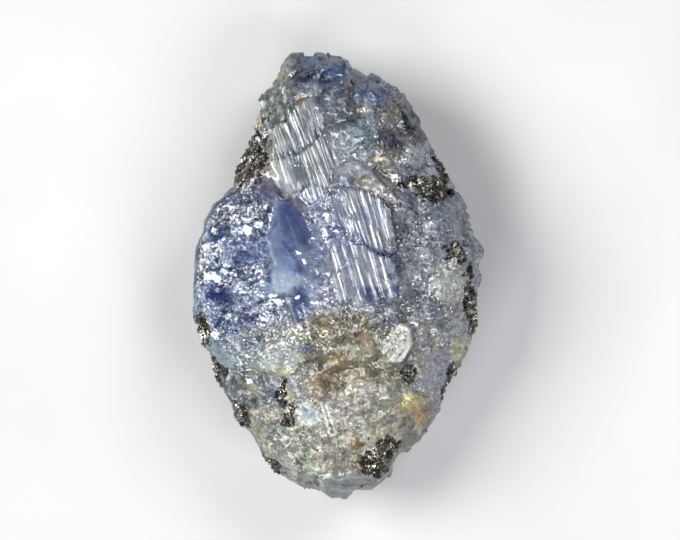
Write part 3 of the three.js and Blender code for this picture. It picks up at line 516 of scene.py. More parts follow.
# Colours laid over the mottling: middle x, y, half-sizes, turn, sRGB colour.
ACCENTS = [
    (-1.2, 20.6, 2.8, 1.4, 0, (64, 88, 130)),  # knob of the narrow end
    (-3.5, 20.0, 1.6, 0.6, 0, (44, 54, 76)),  # dark hollow: painted shade, with glints from its small faces
    (2.2, 13.8, 1.6, 1.5, 0, (206, 220, 228)),  # rounded crystal
    (5.2, 13.2, 1.4, 0.6, -20, (54, 56, 78)),  # violet band
    (7.3, 15.4, 0.9, 2.1, 25, (16, 26, 44)),  # upper right edge
    (7.6, 11.8, 1.3, 1.1, 0, (158, 165, 170)),  # bright knob
    (2.4, -6.0, 0.5, 0.45, 0, (152, 124, 92)),  # iron stain, middle
    (-0.2, -8.4, 1.3, 0.6, 20, (158, 132, 86)),  # iron stain under it
    (-0.6, -10.2, 1.6, 1.1, 0, (112, 94, 68)),  # rust
    (-1.3, -11.0, 0.4, 0.9, 0, (84, 70, 48)),  # rust, dark
    (-1.9, -9.0, 0.5, 0.4, 0, (44, 44, 44)),  # black specks
    (-3.1, -7.1, 0.9, 0.4, -20, (62, 72, 110)),  # blue wedge
    (5.4, -4.6, 1.5, 0.8, 20, (94, 100, 114)),  # blue-grey lump over the white plate
    (8.4, 3.0, 2.0, 2.4, 0, (182, 184, 192)),  # right, glittering
    (10.6, 5.4, 1.6, 2.0, 0, (158, 168, 184)),  # knob over the spur
    (10.7, -0.9, 1.7, 1.6, 0, (188, 192, 188)),  # round calcite
    (-3.0, -13.8, 1.2, 1.0, 0, (206, 215, 214)),  # pale nodule
    (-3.1, -13.6, 0.5, 0.4, 30, (158, 172, 190)),  # blue shade in it
    (11.9, -7.6, 0.9, 1.4, 0, (170, 172, 142)),  # greenish patch
    (7.2, -12.5, 1.1, 1.0, 0, (188, 178, 126)),  # yellow calcite
    (8.0, -13.8, 0.7, 1.1, 0, (188, 154, 104)),  # iron stain on it
]

# How finely the stone breaks: middle x, y, half-sizes, turn, weight of small faces, weight of fine grains.
SPARKLE = [
    (-9.6, 1.4, 6.2, 8.6, 10, 1.0, 0.35),
    (7.3, 3.2, 2.2, 3.0, 0, 1.0, 1.4),
    (-2.0, 4.6, 1.8, 2.8, 0, 0.5, 0.35),
    (0.0, -4.0, 6.0, 1.6, 0, 0.8, 0.9),
    (-9.5, -6.5, 3.6, 2.6, -30, 1.0, 0.8),
    (4.4, 18.4, 3.2, 2.2, -30, 0.9, 0.9),
    (-1.0, 20.4, 3.0, 1.8, 0, 0.6, 0.15),
    (4.0, 14.5, 5.0, 3.0, -20, 0.9, 0.7),
    (4.4, 11.8, 1.4, 0.9, -20, 0.6, 1.0),
    (7.4, 11.8, 1.8, 1.4, 0, 0.8, 0.6),
    (-6.4, 16.2, 3.0, 4.0, -20, 0.5, 0.5),
    (-3.5, 20.0, 1.8, 0.7, 0, 0.9, 0.6),
    (-2.0, -13.8, 4.0, 3.6, 0, 0.9, 1.0),
    (-6.5, -17.0, 3.6, 3.2, -40, 0.9, 0.9),
    (0.5, -17.0, 3.0, 2.6, 0, 0.9, 1.0),
    (10.7, -0.9, 1.9, 1.8, 0, 0.7, 0.9),
    (10.0, 5.0, 2.6, 4.0, 0, 0.9, 0.8),
    (8.0, -3.5, 3.6, 2.4, 0, 0.9, 0.9),
    (9.5, -9.5, 3.0, 4.0, 0, 0.9, 0.9),
]
LEAST_FACES, LEAST_GRAINS = 0.7, 0.6

BLOCK = (-9.6, 1.4, 6.2, 8.6, 10)  # the blue block: middle x, y, half-sizes, turn
HOLLOW_REACH = 4  # grid cells to each side that a point's surroundings take in
HOLLOW_DEPTH = 0.8  # depth of a hollow whose painted shade would be black, if that shade had no limits
PAINTED_SHADE_LIMITS = (0.8, 1.15)  # limits of the painted shade: the darkest hollow, and the painted light on the lightest crest
SATURATION, BLOCK_SATURATION = 1.0, 1.04  # of the colours in the tables, outside the block and on it
ALBEDO = 0.45  # lightness of the whole stone beside the colours in the tables
DARKEST = 0.004  # least value of a colour's channel
GAMMA = 2.2
SMALL_STAIN = 1.3  # stains narrower than this do not run down the sides
STAIN_DEPTH = 2.0  # how far below the rim such a stain fades out
STAIN_RAGGED = 1.2  # how far that lower border strays up and down
STAIN_DRIFT = 0.9  # how far a colour's border strays sideways for each millimetre below the rim
DRIFT_LIMIT = 4  # depth below the rim from which it strays no farther

# Colours of the flat faces, and their strengths.
FACE_TINTS = {
    "blue facet": ((112, 127, 166), 0.9),
    # The pale facet's light colour is partly its own pale blue and partly a painted satin sheen.
    "pale facet": ((204, 220, 238), 0.9),
    "pale wedge": ((152, 163, 156), 0.6),
}
PLATE_TINT, PLATE_STREAKS = (197, 199, 190), (86, 88, 88)  # the white plate, whose white is partly a painted satin sheen, and the dark streaks on it
PLATE_STRENGTH = 0.9  # strength of both
FACET_CLOUDS, FACET_DEPTHS = (134, 150, 196), (72, 84, 140)  # lighter and deeper clouds in the blue facet
LINE_STRENGTH = 0.9  # strength of the colours in LINES

# Colour shades on the flat faces, one of them a painted highlight: middle x, y, half-sizes, turn, sRGB
# colour.
FACE_SHADES = [
    (-4.7, 6.0, 1.5, 2.0, 20, (84, 98, 148)),
    (-3.5, 4.0, 0.7, 1.3, 20, (88, 92, 142)),
    (-4.4, 1.4, 1.4, 1.2, 20, (148, 166, 212)),
    # A painted highlight along the blue facet's lit left edge.
    (-6.3, 3.2, 0.7, 2.4, 0, (132, 148, 186)),
    # The pale wedge's own yellow foot.
    (-5.4, -9.4, 0.9, 0.5, 10, (178, 182, 150)),
]

# Zones whose gem material is clear: middle x, y, half-sizes, turn, clearness.
GEM_ZONES = [
    (-9.6, 1.4, 6.4, 8.6, 10, 0.35),
    (-4.6, 3.6, 2.0, 4.2, 20, 0.45),
    (-9.7, 1.9, 1.2, 0.9, 0, 0.5),
    (-11.7, -1.9, 1.6, 1.3, 0, 0.5),
    (-3.9, -3.0, 1.0, 1.9, 0, 0.5),
    (-1.4, 20.9, 3.0, 1.7, 0, 0.15),
    (3.9, -1.8, 1.6, 0.9, -10, 0.5),
    (2.2, 13.8, 1.8, 1.7, 0, 0.5),
    (1.5, 3.0, 5.5, 6.0, 0, 0.35),
    (10.5, 5.8, 2.0, 2.6, 0, 0.4),
    (7.6, 3.0, 2.2, 3.2, 0, 0.2),
]

# ---- what the materials are made of ----
# Noise: how many swells to the metre, detail and, where it is not 0.5, roughness.
FINE_GRAIN = (2600.0, 4.0, 0.6)
BROAD_GRAIN = (700.0, 5.0, 0.65)
SPECKS = (6500.0, 2.0)
WANDER = (1600.0, 3.0)
WANDER_REACH = 0.00025  # metres by which the cells' borders wander
GRAIN_PATCHES = (500.0, 3.0)
CRACK_PATCHES = (600.0, 2.0)
GEM_CRACK_PATCHES = (1000.0, 2.0)
# Nets of cells: how many to the metre.
LARGE_CELLS, SMALL_CELLS, GRAPHITE_CELLS, GRAIN_CELLS = 1300.0, 3000.0, 4000.0, 6000.0
WIDE_CRACKS, NARROW_CRACKS = 1250.0, 1900.0
SCALE_CELLS = 8000.0
COARSE_LINES, PAINTED_STREAK_LINES, FINE_LINES = 4200.0, 7000.0, 9000.0  # lines to the metre, along the striae; the middle count is that of the painted light and shade lines
LINE_LENGTH = 60  # how much longer than wide those lines are
SKIN_SHARE, LIE_SHARE = 0.2, 0.8  # shares of the mesh's own normal and of the stored facing
CRACK_PUSH = (0.4, -0.12, 0)  # how a crack tilts the surface

GRAPHITE_DARK, GRAPHITE_GREY = (0.006, 0.006, 0.006, 1), (0.036, 0.033, 0.028, 1)
SCALE_DARK, SCALE_GREY, SCALE_BRIGHT = (0.02, 0.02, 0.02, 1), (0.15, 0.14, 0.125, 1), (0.56, 0.51, 0.42, 1)
# Painted shade along the cracks between small faces, bluer in the gem.
PAINTED_CRACK_SHADE, GEM_PAINTED_CRACK_SHADE = (0.4, 0.39, 0.38, 1), (0.28, 0.35, 0.5, 1)
GEM_ABSORPTION = (0.42, 0.5, 0.93, 1)
GEM_DENSITY = 90.0
ZOISITE_IOR = 1.69
FLOOR_TINTS = (0.33, 0.33, 0.34, 1), (0.36, 0.36, 0.37, 1)

# ---- the studio, in metres ----
FLOOR_HALF = 1.5
LIGHT_ELEVATION, LIGHT_DISTANCE = 46, 0.8
# Soft lights: azimuth, width, power, colour. Azimuth 0 is on the +X side, 90 on the +Y side.
LIGHTS = {
    "key": (168, 0.42, 11.7, (1.0, 1.0, 0.94)),
    "upper right": (45, 0.3, 4.4, (0.95, 0.97, 1.0)),
    "lower right": (-40, 0.3, 4.2, (1.0, 0.98, 0.95)),
    "lower left": (-115, 0.3, 3.6, (0.97, 0.98, 1.0)),
}
WORLD_TINT, WORLD_STRENGTH = (0.85, 0.9, 1.0, 1), 0.14
LENS, SENSOR_WIDTH = 300, 36  # millimetres
FRAME_WIDTH = 0.068  # width of the picture at the point that the camera aims at
AIM = (0.0001, 0.00055, 0.0085)


# ---- small mathematics, on arrays ----
def smooth(low, high, v):
    """0 below low and 1 above high, with a soft step between them."""
    t = np.clip((v - low) / (high - low), 0, 1)
    return t * t * (3 - 2 * t)


def hashed(cell, seed):
    """Repeatable numbers from 0 to 1, one for each whole-numbered cell."""
    x, y, z = (cell[..., k].astype(np.int64) for k in range(3))
    h = (x * 374761393 + y * 668265263 + z * 1440662683 + seed * 97531357) & 0xFFFFFFFF
    h = ((h ^ (h >> 13)) * 1274126177) & 0xFFFFFFFF
    h = ((h ^ (h >> 16)) * 1103515245) & 0xFFFFFFFF
    return (h ^ (h >> 15)) / 4294967295.0


def signed(cell, seed):
    """Repeatable numbers from -1 to 1, one for each whole-numbered cell."""
    return hashed(cell, seed) * 2 - 1


def noise(points, size, seed):
    """Smooth noise from -1 to 1."""
    q = points / size
    base = np.floor(q)
    t = q - base
    t = t * t * (3 - 2 * t)
    total = np.zeros(len(points))
    for corner in np.ndindex(2, 2, 2):
        c = np.array(corner)
        weight = np.prod(np.where(c == 1, t, 1 - t), axis=1)
        total += weight * hashed(base + c, seed)
    return 2 * total - 1


def fractal(points, size, seed, octaves=3):
    """Noise of several sizes, each half the one before, from -1 to 1."""
    total, weight = np.zeros(len(points)), 0.0
    for k in range(octaves):
        total += noise(points, size / 2**k, seed + k) / 2**k
        weight += 1 / 2**k
    return total / weight


def cells(points, size, seed):
    """The nearest of the seeds that are scattered one to a cube: its place and its cube."""
    q = points / size
    base = np.floor(q)
    nearest = np.full(len(q), np.inf)
    offset = np.zeros_like(q)
    owner = np.zeros_like(q)
    for step in np.ndindex(3, 3, 3):
        cube = base + np.array(step) - 1
        scatter = np.stack([hashed(cube, seed + k) for k in (11, 12, 13)], axis=1)
        away = q - cube - scatter
        d = (away * away).sum(axis=1)
        closer = d < nearest
        nearest = np.where(closer, d, nearest)
        offset[closer] = away[closer]
        owner[closer] = cube[closer]
    return (q - offset) * size, owner


def warped(points, size, amount, seed):
    """The points, pushed about sideways, so that borders drawn on them wander."""
    moved = points.copy()
    for axis in (0, 1):
        moved[:, axis] += fractal(points, size, seed + 5 * axis) * amount
    return moved


def flakes(points, moved, size, tilt, step, seed):
    """A surface broken into flat flakes, each tilted and stepped its own way: its heights and slopes."""
    middle, owner = cells(moved, size, seed)
    lean = np.stack([signed(owner, seed + k) for k in (1, 2, 3)], axis=1) * tilt
    rise = signed(owner, seed + 4) * step
    return (lean * (points - middle)).sum(axis=1) + rise, lean


def crumpled(points, size, height, seed):
    """Heights of a glassy break: soft swells of several sizes, cut by sharp creases."""
    swell = fractal(points, size, seed)
    crease = 1 - 2 * np.abs(fractal(points, size * 0.8, seed + 9))
    return height * (swell + 0.8 * crease)


def along_and_across(x, y, turn):
    """Places along a direction in the plane and across it, given in degrees from the X axis."""
    a = math.radians(turn)
    return x * math.cos(a) + y * math.sin(a), y * math.cos(a) - x * math.sin(a)


def streaked(points, direction, length, width, seed):
    """Noise drawn out along one direction in the plane, given in degrees from the X axis."""
    along, across = along_and_across(points[:, 0], points[:, 1], direction)
    drawn = np.stack([along / length, across / width, np.zeros(len(points))], axis=1)
    return fractal(drawn, 1.0, seed)


def line_distance(x, y, points):
    """Distance to a line through the points."""
    nearest = np.full(len(x), np.inf)
    for (ax, ay), (bx, by) in zip(points, points[1:]):
        ex, ey = bx - ax, by - ay
        along = np.clip(((x - ax) * ex + (y - ay) * ey) / (ex * ex + ey * ey), 0, 1)
        nearest = np.minimum(nearest, np.hypot(x - ax - along * ex, y - ay - along * ey))
    return nearest


def depth_inside(x, y, corners):
    """Distance to the edge of a polygon, positive inside it."""
    inside = np.zeros(len(x), bool)
    closed = corners + corners[:1]
    for (ax, ay), (bx, by) in zip(closed, closed[1:]):
        if ay != by:
            inside ^= ((ay > y) != (by > y)) & (x < (bx - ax) * (y - ay) / (by - ay) + ax)
    nearest = line_distance(x, y, closed)
    return np.where(inside, nearest, -nearest)


def ellipse_weight(x, y, cx, cy, rx, ry, turn, soft=0.3):
    """1 inside a turned ellipse, falling to 0 across its edge."""
    along, across = along_and_across(x - cx, y - cy, turn)
    return 1 - smooth(1 - soft, 1 + soft, np.hypot(along / rx, across / ry))


def strongest(x, y, zones, soft=0.3):
    """The greatest weight that any of the ellipses has at each point."""
    return np.max([ellipse_weight(x, y, *zone, soft=soft) for zone in zones], axis=0, initial=0)


# ---- the stone's form ----
NEARLY_NOTHING = 1e-9  # stands in for a zero that would be divided by


def outline_radius(angle):
    """Distance from the centre to the outline in each direction."""
    dx, dy = np.cos(angle), np.sin(angle)
    radius = np.zeros(len(angle))
    for (ax, ay), (bx, by) in zip(OUTLINE, OUTLINE[1:] + OUTLINE[:1]):
        px, py, ex, ey = ax - CENTRE[0], ay - CENTRE[1], bx - ax, by - ay
        cross = dx * ey - dy * ex
        cross = np.where(np.abs(cross) < NEARLY_NOTHING, NEARLY_NOTHING, cross)
        distance = (px * ey - py * ex) / cross
        share = (px * dy - py * dx) / cross
        hit = (share >= 0) & (share <= 1) & (distance > radius)
        radius = np.where(hit, distance, radius)
    return radius


RADIUS_ANGLES = np.linspace(-math.pi, math.pi, 7201)  # every twentieth of a degree
RADIUS_TABLE = outline_radius(RADIUS_ANGLES)


def radius_at(angle):
    """Distance from the centre to the outline, from the table."""
    wrapped = (angle + math.pi) % (2 * math.pi) - math.pi
    return np.interp(wrapped, RADIUS_ANGLES, RADIUS_TABLE)


def reach_of(x, y):
    """Each point's direction from the centre, and how far out it lies as a share of the radius there."""
    dx, dy = x - CENTRE[0], y - CENTRE[1]
    angle = np.arctan2(dy, dx)
    return angle, np.hypot(dx, dy) / radius_at(angle)


def place_at(angle, share):
    """The point that lies at a share of the radius in a direction."""
    reach = share * radius_at(angle)
    return CENTRE[0] + reach * np.cos(angle), CENTRE[1] + reach * np.sin(angle)


def rim_height(angle):
    """Height of the widest line round the stone."""
    return sum((height * np.sin(count * angle + turn) for height, count, turn in RIM_WAVES), RIM)


def lumps(x, y, height):
    """Low swells of two sizes."""
    coarse = np.sin(1.1 * x + 0.7 * y + 1.3) * np.sin(0.8 * y - 0.9 * x + 0.4)
    fine = np.sin(2.3 * x - 1.2 * y) * np.sin(2.6 * y + 1.1 * x + 2.1)
    return height * (coarse + 0.7 * fine)


def plane_height(at, slope, x, y):
    """Height of a sloping plane that goes through a point."""
    return at[2] + slope[0] * (x - at[0]) + slope[1] * (y - at[1])


def broad_height(x, y):
    """The upper side's broad slopes, met softly, and its steep edge at the rim."""
    angle, share = reach_of(x, y)
    rim = rim_height(angle)
    inward = np.maximum(0, 1 - share) * radius_at(angle)
    planes = [plane_height(at, slope, x, y) for at, slope in BROAD_FACES.values()]
    planes.append(rim + EDGE_RISE * inward**EDGE_POWER)
    planes = np.array(planes)
    lowest = planes.min(axis=0)
    crowd = np.exp(-BLEND * (planes - lowest)).sum(axis=0)
    return np.where(inward > 0, np.maximum(rim, lowest - np.log(crowd) / BLEND), rim)


def face_plane(corners, lift, tilt, reach=1.2):
    """The plane of a flat face: its middle point and its slope, taken from the broad form around it."""
    x = sum(c[0] for c in corners) / len(corners)
    y = sum(c[1] for c in corners) / len(corners)
    xs = np.array([x, x + reach, x - reach, x, x])
    ys = np.array([y, y, y, y + reach, y - reach])
    z = broad_height(xs, ys)
    slope = ((z[1] - z[2]) / (2 * reach) + tilt[0], (z[3] - z[4]) / (2 * reach) + tilt[1])
    return (x, y, z[0] + lift), slope


FACE_PLANES = {name: face_plane(*face[:3]) for name, face in FACES.items()}


def striae_place(name, x, y):
    """Places across a face, square to its striae."""
    turn, fan, _, _ = STRIAE[name]
    (mx, my, _), _ = FACE_PLANES[name]
    place, back = along_and_across(x - mx, y - my, turn)
    return place * (1 - fan * back)


def striae_height(name, across):
    """Height of a face's ridged growth lines over its plane."""
    _, _, start, ridges = STRIAE[name]
    height = np.zeros(len(across))
    for width, rise in ridges:
        top = start + width * (1 - STRIA_FALL)
        crest = rise * width * (1 - STRIA_FALL)
        climbing = (across >= start) & (across < top)
        falling = (across >= top) & (across < start + width)
        height = np.where(climbing, rise * (across - start), height)
        height = np.where(falling, crest * (start + width - across) / (width * STRIA_FALL), height)
        start += width
    return height


def top_height(x, y):
    """The upper side before its flat faces: broad slopes, swells, nodules and hollows."""
    angle, share = reach_of(x, y)
    inner = smooth(0, 1.5, (1 - share) * radius_at(angle))
    z = broad_height(x, y) + lumps(x, y, LUMPS_TOP) * inner
    for at, half, height in BOSSES:
        away = np.hypot((x - at[0]) / half[0], (y - at[1]) / half[1])
        z = z + height * (1 - smooth(0.25, 1.15, away)) * smooth(0, 1, 0.35 + inner)
    return z


def under_height(x, y):
    """The underside: a flat cleavage face in the middle and broken slopes around it."""
    height = np.zeros(len(x))
    for (tx, ty), start, rise in UNDER_PLANES:
        height = np.maximum(height, rise * (x * tx + y * ty - start))
    return height + lumps(x, y, LUMPS_UNDER) * smooth(0.5, 2, height)


# ---- the skin ----
def disc_grid(nx, ny):
    """A grid of nx by ny cells laid evenly over a disc: the angle and the radius of each point."""
    a, b = np.meshgrid(2 * np.arange(nx + 1) / nx - 1, 2 * np.arange(ny + 1) / ny - 1, indexing="ij")
    wide = np.abs(a) > np.abs(b)
    safe_a = np.where(a == 0, 1, a)
    safe_b = np.where(b == 0, 1, b)
    sideways = np.where(a > 0, 0, math.pi) + math.pi / 4 * b / safe_a
    upright = np.where(b > 0, math.pi / 2, -math.pi / 2) - math.pi / 4 * a / safe_b
    return np.where(wide, sideways, upright), np.maximum(np.abs(a), np.abs(b))


def oval_angle(angle):
    """Spreads a disc's directions over the stone's longer outline."""
    return np.arctan2(HALF_EXTENT[1] * np.sin(angle), HALF_EXTENT[0] * np.cos(angle))


def border(nx, ny):
    """The border of a grid, anticlockwise, as flat indices."""
    i = np.concatenate([np.full(ny, nx), nx - np.arange(nx), np.zeros(ny), np.arange(nx)])
    j = np.concatenate([np.arange(ny), np.full(nx, ny), ny - np.arange(ny), np.zeros(nx)])
    return (i * (ny + 1) + j).astype(int)


def grid_quads(nx, ny, first, faces_up):
    """Quads of a grid whose points count on from first."""
    i, j = np.meshgrid(np.arange(nx), np.arange(ny), indexing="ij")
    a = (i * (ny + 1) + j).ravel()
    quads = np.stack([a, a + ny + 1, a + ny + 2, a + 1], axis=1) + first
    return quads if faces_up else quads[:, ::-1]


def ring_faces(upper, lower):
    """Quads between rings of as many points, or triangles where the lower ring has half as many."""
    if len(upper) == len(lower):
        return np.stack([upper, lower, np.roll(lower, -1), np.roll(upper, -1)], axis=1), np.zeros((0, 3), int)
    high, middle, high_next = upper[0::2], upper[1::2], np.roll(upper[0::2], -1)
    low, low_next = lower, np.roll(lower, -1)
    triangles = [(high, low, middle), (middle, low, low_next), (middle, low_next, high_next)]
    return np.zeros((0, 4), int), np.concatenate([np.stack(t, axis=1) for t in triangles])


class Skin:
    """Points and faces of the closed stone."""

    def __init__(self):
        self.points, self.quads, self.triangles, self.count = [], [], [], 0

    def add(self, x, y, z):
        """Adds points and returns their indices."""
        index = np.arange(self.count, self.count + len(x))
        self.points.append(np.stack([x, y, z], axis=1))
        self.count += len(x)
        return index

    def join(self, upper, lower):
        """Closes the gap between two rings of points."""
        quads, triangles = ring_faces(upper, lower)
        self.quads.append(quads)
        self.triangles.append(triangles)

    def add_grid(self, nx, ny, reach, height, faces_up):
        """Adds a grid over a share of the outline and returns its border."""
        angle, radius = disc_grid(nx, ny)
        x, y = place_at(oval_angle(angle).ravel(), radius.ravel() * reach)
        index = self.add(x, y, height(x, y))
        self.quads.append(grid_quads(nx, ny, index[0], faces_up))
        return index[border(nx, ny)]


def side_share(angle, down):
    """How far out the side lies, as a share of the radius, from 0 at the rim to 1 at its foot."""
    return 1 - down * (UNDERCUT + UNDERCUT_WAVE * np.sin(UNDERCUT_COUNT * angle))


def build_skin():
    """The upper side, the side, the flank under it and the underside, ring by ring."""
    skin = Skin()
    nx, ny = CELLS
    ring = skin.add_grid(nx, ny, 1, top_height, True)
    angle = oval_angle(disc_grid(nx, ny)[0].ravel()[border(nx, ny)])
    for row in range(1, SIDE_ROWS + 1):
        down = row / SIDE_ROWS
        x, y = place_at(angle, side_share(angle, down))
        rim = rim_height(angle)
        foot = np.minimum(rim - SIDE_LEAST, under_height(x, y))
        below = skin.add(x, y, rim + (foot - rim) * down)
        skin.join(ring, below)
        ring = below
    for row in range(1, FLANK_ROWS):
        inward = row / FLANK_ROWS
        if row in (1, FLANK_ROWS // 2):
            angle = angle[::2]
        x, y = place_at(angle, side_share(angle, 1) * (1 - inward) + UNDER_REACH * inward)
        below = skin.add(x, y, under_height(x, y))
        skin.join(ring, below)
        ring = below
    skin.join(ring, skin.add_grid(nx // 4, ny // 4, UNDER_REACH, under_height, False))
    return np.concatenate(skin.points), np.concatenate(skin.quads), np.concatenate(skin.triangles)


def point_normals(points, quads, triangles):
    """The mean direction, outward, of the faces round each point."""
    normals = np.zeros_like(points)
    for faces in (quads, triangles):
        if not len(faces):
            continue
        a, b, c = (points[faces[:, k]] for k in (0, 1, 2))
        last = points[faces[:, -1]]
        across = np.cross(c - a, last - b) if faces.shape[1] == 4 else np.cross(b - a, c - a)
        for k in range(faces.shape[1]):
            np.add.at(normals, faces[:, k], across)
    return normals / np.maximum(np.linalg.norm(normals, axis=1, keepdims=True), 1e-12)


# ---- how the stone breaks, and what covers it, place by place ----
def turned(points):
    """The points, turned about two axes, so that noise laid on them has no edges along the frame's axes."""
    x, y, z = points.T
    x, y = 0.8 * x - 0.6 * y, 0.6 * x + 0.8 * y
    y, z = 0.8 * y - 0.6 * z, 0.6 * y + 0.8 * z
    return np.stack([x, y, z], axis=1)


def raggedness(points):
    """Noise that lets the stone show between the graphite scales."""
    return RAGGED * fractal(turned(points), 0.8, 57, octaves=3)


def graphite_weight(points, x, y):
    """The share of graphite: the ragged patches and, farther down, the underside's own graphite."""
    height = points[:, 2]
    patches = strongest(x, y, GRAPHITE, soft=0.7) * smooth(PATCHES_END, PATCHES_WHOLE, height)
    strewn = smooth(0.1, 0.45, fractal(turned(points), 3.4, 58, octaves=4))
    graphite = np.maximum(patches, smooth(UNDER_STARTS, UNDER_WHOLE, height) * strewn)
    return smooth(0.35, 0.6, graphite + raggedness(points) * (graphite > 0))


def zone_weights(points):
    """The share of each kind of material and break at each point."""
    moved = warped(points, 1.6, 0.45, 50)
    x, y = moved[:, 0], moved[:, 1]
    gem = np.zeros(len(x))
    for *zone, clearness in GEM_ZONES:
        gem = np.maximum(gem, clearness * ellipse_weight(x, y, *zone))
    faces, grains = np.full(len(x), LEAST_FACES), np.full(len(x), LEAST_GRAINS)
    for *zone, small, fine in SPARKLE:
        weight = ellipse_weight(x, y, *zone)
        faces = np.maximum(faces, small * weight)
        grains += (fine - grains) * weight
    block = ellipse_weight(x, y, *BLOCK)
    waxy = smooth(-4.5, -7.5, y) * (1 - block)
    sugary = np.clip(1 - block - waxy, 0, 1)
    return {"graphite": graphite_weight(points, x, y), "gem": gem, "faces": faces, "grains": grains,
            "block": block, "waxy": waxy, "sugary": sugary}


def cleaved(x, y, moved, seed):
    """Flat cleavage faces that share one slope, more or less: heights over the stone's form, and slopes."""
    stretch = np.array(CLEAVAGE_STRETCH, float)
    middle, owner = cells(moved * (1, 1, 0) / stretch, CLEAVAGE_SIZE, seed)
    cx, cy = middle[:, 0] * stretch[0], middle[:, 1] * stretch[1]
    bright = strongest(cx, cy, BRIGHT_FIELDS)
    stray = LOOSE + (TIGHT - LOOSE) * bright
    shared = [CLEAVAGE[k] + TURNED[k] * (1 - bright) for k in (0, 1)]
    slopes = np.stack([shared[k] + signed(owner, seed + k) * stray for k in (0, 1)], axis=1)
    height = top_height(cx, cy) - top_height(x, y) + signed(owner, seed + 4) * CLEAVAGE_STEP
    return height + slopes[:, 0] * (x - cx) + slopes[:, 1] * (y - cy), slopes


def add_cleavage(points, lie, zones, top, calm):
    """Breaks the blue block's upper side into its cleavage faces."""
    x, y = points[top, 0], points[top, 1]
    angle, share = reach_of(x, y)
    inner = smooth(0.0, 0.8, (1 - share) * radius_at(angle))
    height, slopes = cleaved(x, y, warped(points[top], 1.3, 0.35, 30), 610)
    weight = zones["block"][top] * inner * (1 - calm[top]) ** 2
    points[top, 2] += np.clip(height, -MOST_STEP, MOST_STEP) * weight
    facing = np.concatenate([-slopes, np.ones((len(x), 1))], axis=1)
    facing /= np.linalg.norm(facing, axis=1, keepdims=True)
    lie[top] += (facing - lie[top]) * weight[:, None]


def break_up(points, lie, zones, rest):
    """Breaks the rest of the stone into flat pieces of several sizes, and notes which way each one faces."""
    moved = warped(points, 1.4, 0.35, 24)
    height, slope = np.zeros(len(points)), np.zeros_like(points)
    for size, tilt, step, seed, zone, strength in FLAKE_LAYERS:
        rise, lean = flakes(points, moved, size, tilt, step, seed)
        weight = zones[zone] * rest * strength
        height += rise * weight
        slope += lean * weight[:, None]
    height += crumpled(points, 1.5, 0.05, 950) * rest * (1 - zones["block"])
    slope *= (SOFTENED + (1 - SOFTENED) * zones["block"])[:, None]
    along = (slope * lie).sum(axis=1, keepdims=True)
    lie -= slope - along * lie
    return height


def facing_of(slope):
    """The direction that a plane of this slope faces."""
    return np.array([-slope[0], -slope[1], 1]) / math.hypot(*slope, 1)


def add_chips(points, lie, top, faces):
    """Lays the single cleavage faces on the upper side, each with a straight-edged outline."""
    level = points[top] * (1, 1, 0)
    corners, _ = cells(level, CHIP_GRID, 41)
    z = points[top, 2].copy()
    chips = [ellipse_weight(corners[:, 0], corners[:, 1], *chip) > 0.5 for chip in BRIGHT_CHIPS]
    chips += [depth_inside(level[:, 0], level[:, 1], outline) > 0 for outline in SHAPED_CHIPS]
    for inside in chips:
        if inside.any():
            x, y = level[inside, 0], level[inside, 1]
            z[inside] = plane_height((x.mean(), y.mean(), z[inside].mean()), CLEAVAGE, x, y)
            lie[top][inside] = facing_of(CLEAVAGE)
            faces[top][inside] *= CHIP_FACES
    points[top, 2] = z


def add_lines(points, top):
    """Presses the cracks and ledges in, and raises the thin ridges."""
    moved = warped(points[top], 0.9, 0.12, 45)
    for line, half_width, rise, _ in LINES:
        near = 1 - smooth(0.4 * half_width, 1.3 * half_width, line_distance(moved[:, 0], moved[:, 1], line))
        points[top, 2] += rise * near


def hollow_shade(top_z):
    """How far each point of the upper side lies under its surroundings, in millimetres."""
    z = top_z.reshape(CELLS[0] + 1, CELLS[1] + 1)
    level = z
    for axis in (0, 1):
        places = np.arange(z.shape[axis])
        shifts = range(-HOLLOW_REACH, HOLLOW_REACH + 1)
        rows = [np.take(level, np.clip(places + k, 0, len(places) - 1), axis=axis) for k in shifts]
        level = np.mean(rows, axis=0)
    return (level - z).ravel()


class Paint:
    """A colour at each point, on which others are laid one over another."""

    def __init__(self, count):
        self.colour = np.tile(np.array(STONE_COLOUR, float), (count, 1))

    def lay(self, rgb, weight):
        """Lays on an sRGB colour, as far as its weight at each point says."""
        self.colour += (np.array(rgb, float) - self.colour) * weight[:, None]


def stain_places(points):
    """Where each point lies for the colour zones, whose borders wander, more so farther down the side."""
    moved = warped(points, 1.2, 0.45, 70)
    drift = STAIN_DRIFT * np.clip(RIM - points[:, 2], 0, DRIFT_LIMIT)
    x = moved[:, 0] + drift * fractal(points, 2.5, 61)
    y = moved[:, 1] + drift * fractal(points, 2.5, 64)
    return x, y


def lay_zones(paint, points, x, y):
    """Lays on the colour zones, their mottling and the accents over it; a few of these are painted light or
    shade, as their notes say.
    """
    ragged = STAIN_RAGGED * fractal(points, 1.5, 67) * (points[:, 2] < RIM)
    near_top = smooth(RIM - STAIN_DEPTH, RIM, points[:, 2] + ragged)
    for *zone, rgb in TINTS:
        small = min(zone[2:4]) < SMALL_STAIN
        paint.lay(rgb, ellipse_weight(x, y, *zone) * (near_top if small else 1))
    for *zone, rgb, size, share, seed in MOTTLES:
        grain = fractal(points, size, 1000 + 10 * seed, octaves=4)
        spread = smooth(0.42 - share, 0.62 - share, grain)
        paint.lay(rgb, OVERLAY * ellipse_weight(x, y, *zone) * spread)
    for *zone, rgb in ACCENTS:
        paint.lay(rgb, OVERLAY * ellipse_weight(x, y, *zone) * near_top)


def face_depth(places, name):
    """How far inside a flat face's outline each point lies."""
    return depth_inside(places[:, 0], places[:, 1], FACES[name][0])


